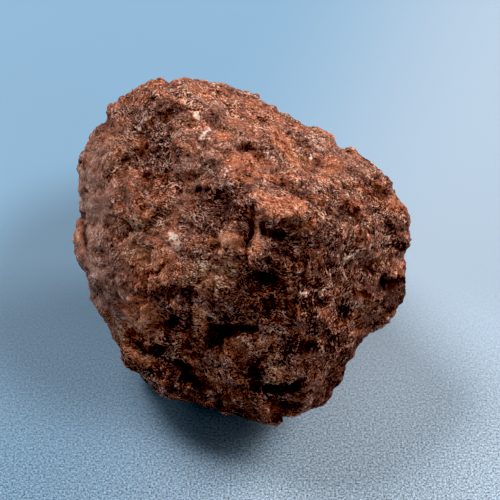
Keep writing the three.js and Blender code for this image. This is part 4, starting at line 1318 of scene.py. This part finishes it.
# the grain's own pattern: form is how many to the mm, then the detail, roughness and warp of the noise; from
# and to are where the noise starts them and where they are full; tone is how they change the tone
grainLook = {
    "thread": {"size": 4.2, "middle": 0.52, "tone": 0.5},
    "threadForm": {
        "Detail": 4, "Roughness": 0.8, "Lacunarity": 2.0, "Offset": 0.8, "Gain": 1.0, "Distortion": 1.0,
    },
    "cells": {"size": 16.0, "tone": 0.32},
    "speck": {"form": (15.0, 2, 0.7), "tone": 2.4},
    "mottle": {"form": (1.0, 3, 0.6, 0.4), "tone": 0.4},
    "blotch": {"form": (2.6, 2, 0.6, 0.6), "tone": 0.4},
    "crevice": {"form": (2.6, 2, 0.6, 0.5), "width": 0.035, "tone": -0.16},
    "vein": {"form": (3.4, 2, 0.6, 0.5), "width": 0.028, "tone": 0.12},
    "clot": {"form": (3.0, 4, 0.7, 0.6), "from": 0.56, "to": 0.68, "tone": -0.22},  # black
    "tuft": {"form": (3.6, 4, 0.7, 0.6), "from": 0.57, "to": 0.70, "tone": 0.16},  # light
    "spark": {"form": (9.0, 3, 0.7, 0.8), "from": 0.58, "to": 0.72, "tone": 0.30},  # light, in crisp places
    "sparkGround": -0.085,  # the tone of the ground between the sparks
    "ruddy": {"form": (1.3, 3, 0.6, 0.5), "from": 0.48, "to": 0.62, "most": 0.75},  # patches of redder brown
}

# contrast of the fine grain: on plain places, what the crisp ones add, what dull skin and pits lose, and how
# it comes and goes all over
grainContrast = {
    "plain": 0.86,
    "crisp": 0.6,
    "dull": -0.66,
    "pit": -0.5,
    "uneven": {"form": (1.4, 1), "from": 0.35, "to": 0.65, "least": 0.65, "most": 1.35},
}


def layGrain(bench, place):  # the place in mm, drawn out along the grain's two lies
    shown = Matrix((across, up, toward)).to_euler()
    turned = bench.place(perMm, shown)
    wanted = {"Vector": place, "Scale": grainLie["bends"], "Detail": grainLie["bendDetail"]}
    bent = bench.node("ShaderNodeTexNoise", "Color", wanted)
    wanted = {0: bent, "Scale": grainLie["bendStrength"]}
    bent = bench.node("ShaderNodeVectorMath", "Vector", wanted, operation="SCALE")
    turned = bench.node("ShaderNodeVectorMath", "Vector", {0: turned, 1: bent}, operation="ADD")
    for lie in ("lying", "standing"):
        wanted = {"Vector": turned, "Rotation": (0, 0, grainLie[lie])}
        slope = bench.node("ShaderNodeMapping", "Vector", wanted)
        yield bench.node("ShaderNodeMapping", "Vector", {"Vector": slope, "Scale": grainLie["stretch"]})


def stoneMaterial():
    material = bpy.data.materials.new("rustyChondrite")
    bench = NodeBench(material)
    finish = stoneFinish
    place = bench.place(perMm)
    lying, standing = layGrain(bench, place)

    def coat(name):  # a stain or relief kept on the mesh
        return bench.node("ShaderNodeAttribute", "Fac", {}, attribute_name=name)

    def remainder(share):  # what a share leaves of 1
        return bench.total((share, -1.0), base=1.0)

    def centred(where, form):  # noise around zero
        return bench.math("SUBTRACT", bench.noise(where, *form), 0.5)

    def lines(where, name):  # 1 on thin wandering lines
        look = grainLook[name]
        away = bench.math("ABSOLUTE", centred(where, look["form"]))
        return bench.between(away, 0, look["width"], 1.0, 0.0)

    def clumps(where, look, least=0.0, most=1.0):  # where a noise runs high
        return bench.between(bench.noise(where, *look["form"]), look["from"], look["to"], least, most)

    def threads(where):  # fine curled threads and the gaps between them, around zero
        wanted = {"Vector": where, "Scale": grainLook["thread"]["size"], **grainLook["threadForm"]}
        ridges = bench.node("ShaderNodeTexNoise", "Fac", wanted, noise_type="RIDGED_MULTIFRACTAL")
        return bench.math("SUBTRACT", ridges, grainLook["thread"]["middle"])

    def specks(where):
        return centred(where, grainLook["speck"]["form"])

    def turnedUp(pattern):  # lying on most of the stone, and standing where the stain called upright is
        return bench.total((pattern(lying), remainder(coat("upright"))), (pattern(standing), coat("upright")))

    wanted = {"Vector": place, "Scale": grainLook["cells"]["size"]}
    split = bench.tree.nodes.new("ShaderNodeSeparateColor")
    bench.feed(split.inputs["Color"], bench.node("ShaderNodeTexVoronoi", "Color", wanted))
    grain = bench.math("SUBTRACT", split.outputs["Red"], 0.5)
    fine = bench.total(
        (turnedUp(threads), grainLook["thread"]["tone"]),
        (grain, grainLook["cells"]["tone"]),
        (turnedUp(specks), grainLook["speck"]["tone"]),
    )
    contrast = bench.total(
        *((coat(name), grainContrast[name]) for name in ("dull", "crisp", "pit")),
        base=grainContrast["plain"],
    )
    uneven = grainContrast["uneven"]
    contrast = bench.math("MULTIPLY", contrast, clumps(place, uneven, uneven["least"], uneven["most"]))
    crevice = lines(lying, "crevice")
    vein = lines(standing, "vein")
    clot = clumps(lying, grainLook["clot"])
    tuft = clumps(standing, grainLook["tuft"])
    spark = clumps(standing, grainLook["spark"])
    tone = bench.total(
        (fine, contrast),
        (centred(place, grainLook["mottle"]["form"]), grainLook["mottle"]["tone"]),
        (centred(lying, grainLook["blotch"]["form"]), grainLook["blotch"]["tone"]),
        (bench.math("MULTIPLY", clot, contrast), grainLook["clot"]["tone"]),
        (bench.math("MULTIPLY", tuft, contrast), grainLook["tuft"]["tone"]),
        (bench.math("MULTIPLY", spark, coat("crisp")), grainLook["spark"]["tone"]),
        (coat("crisp"), grainLook["sparkGround"]),
        (crevice, grainLook["crevice"]["tone"]),
        (vein, grainLook["vein"]["tone"]),
        *((coat(name), share) for name, share in toneShares.items()),
        base=finish["middle"],
        clamp=True,
    )

    ruddy = clumps(lying, grainLook["ruddy"], 0.0, grainLook["ruddy"]["most"])
    rusty = bench.ramp(tone, finish["rust"])
    color = bench.mixed(ruddy, bench.ramp(tone, finish["brown"]), rusty)
    color = bench.mixed(coat("ochre"), color, bench.ramp(tone, finish["ochre"]))
    color = bench.mixed(coat("rust"), color, rusty)
    dulled = bench.math("MULTIPLY", coat("dull"), remainder(coat("rust")))
    color = bench.mixed(dulled, color, bench.ramp(tone, finish["dull"]))
    paleShare = bench.between(coat("pale"), *finish["creamFrom"]["pale"])
    creamy = bench.math("MULTIPLY", paleShare, bench.between(tone, *finish["creamFrom"]["tone"]))
    color = bench.mixed(creamy, color, (*finish["cream"], 1))
    bench.feed(bench.shader.inputs["Base Color"], color)

    start, step = finish["glint"]
    glint = bench.between(split.outputs["Green"], start, start + step)
    rough = bench.between(glint, 0, 1, *finish["roughness"])
    bench.feed(bench.shader.inputs["Roughness"], rough)
    bench.shader.inputs["Specular IOR Level"].default_value = finish["specular"]

    shares = finish["bumpShares"]
    height = bench.total((fine, shares["fine"]), (crevice, shares["crevice"]), (vein, shares["vein"]))
    bump = bench.node("ShaderNodeBump", "Normal", {
        "Strength": finish["bump"], "Distance": finish["bumpDepth"] * mm, "Height": height,
    })
    bench.feed(bench.shader.inputs["Normal"], bump)
    return material


blackLevel = 0.010  # the light that prints as black

placeCamera()
hangLamps()
layFloor()
stone = makeStone()
stone.data.materials.append(stoneMaterial())
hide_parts("stone")
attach(stone, "root")
print("stone finished")

view = bpy.context.scene.view_settings
view.view_transform = "Standard"
view.use_curve_mapping = True
view.curve_mapping.black_level = (blackLevel, blackLevel, blackLevel)
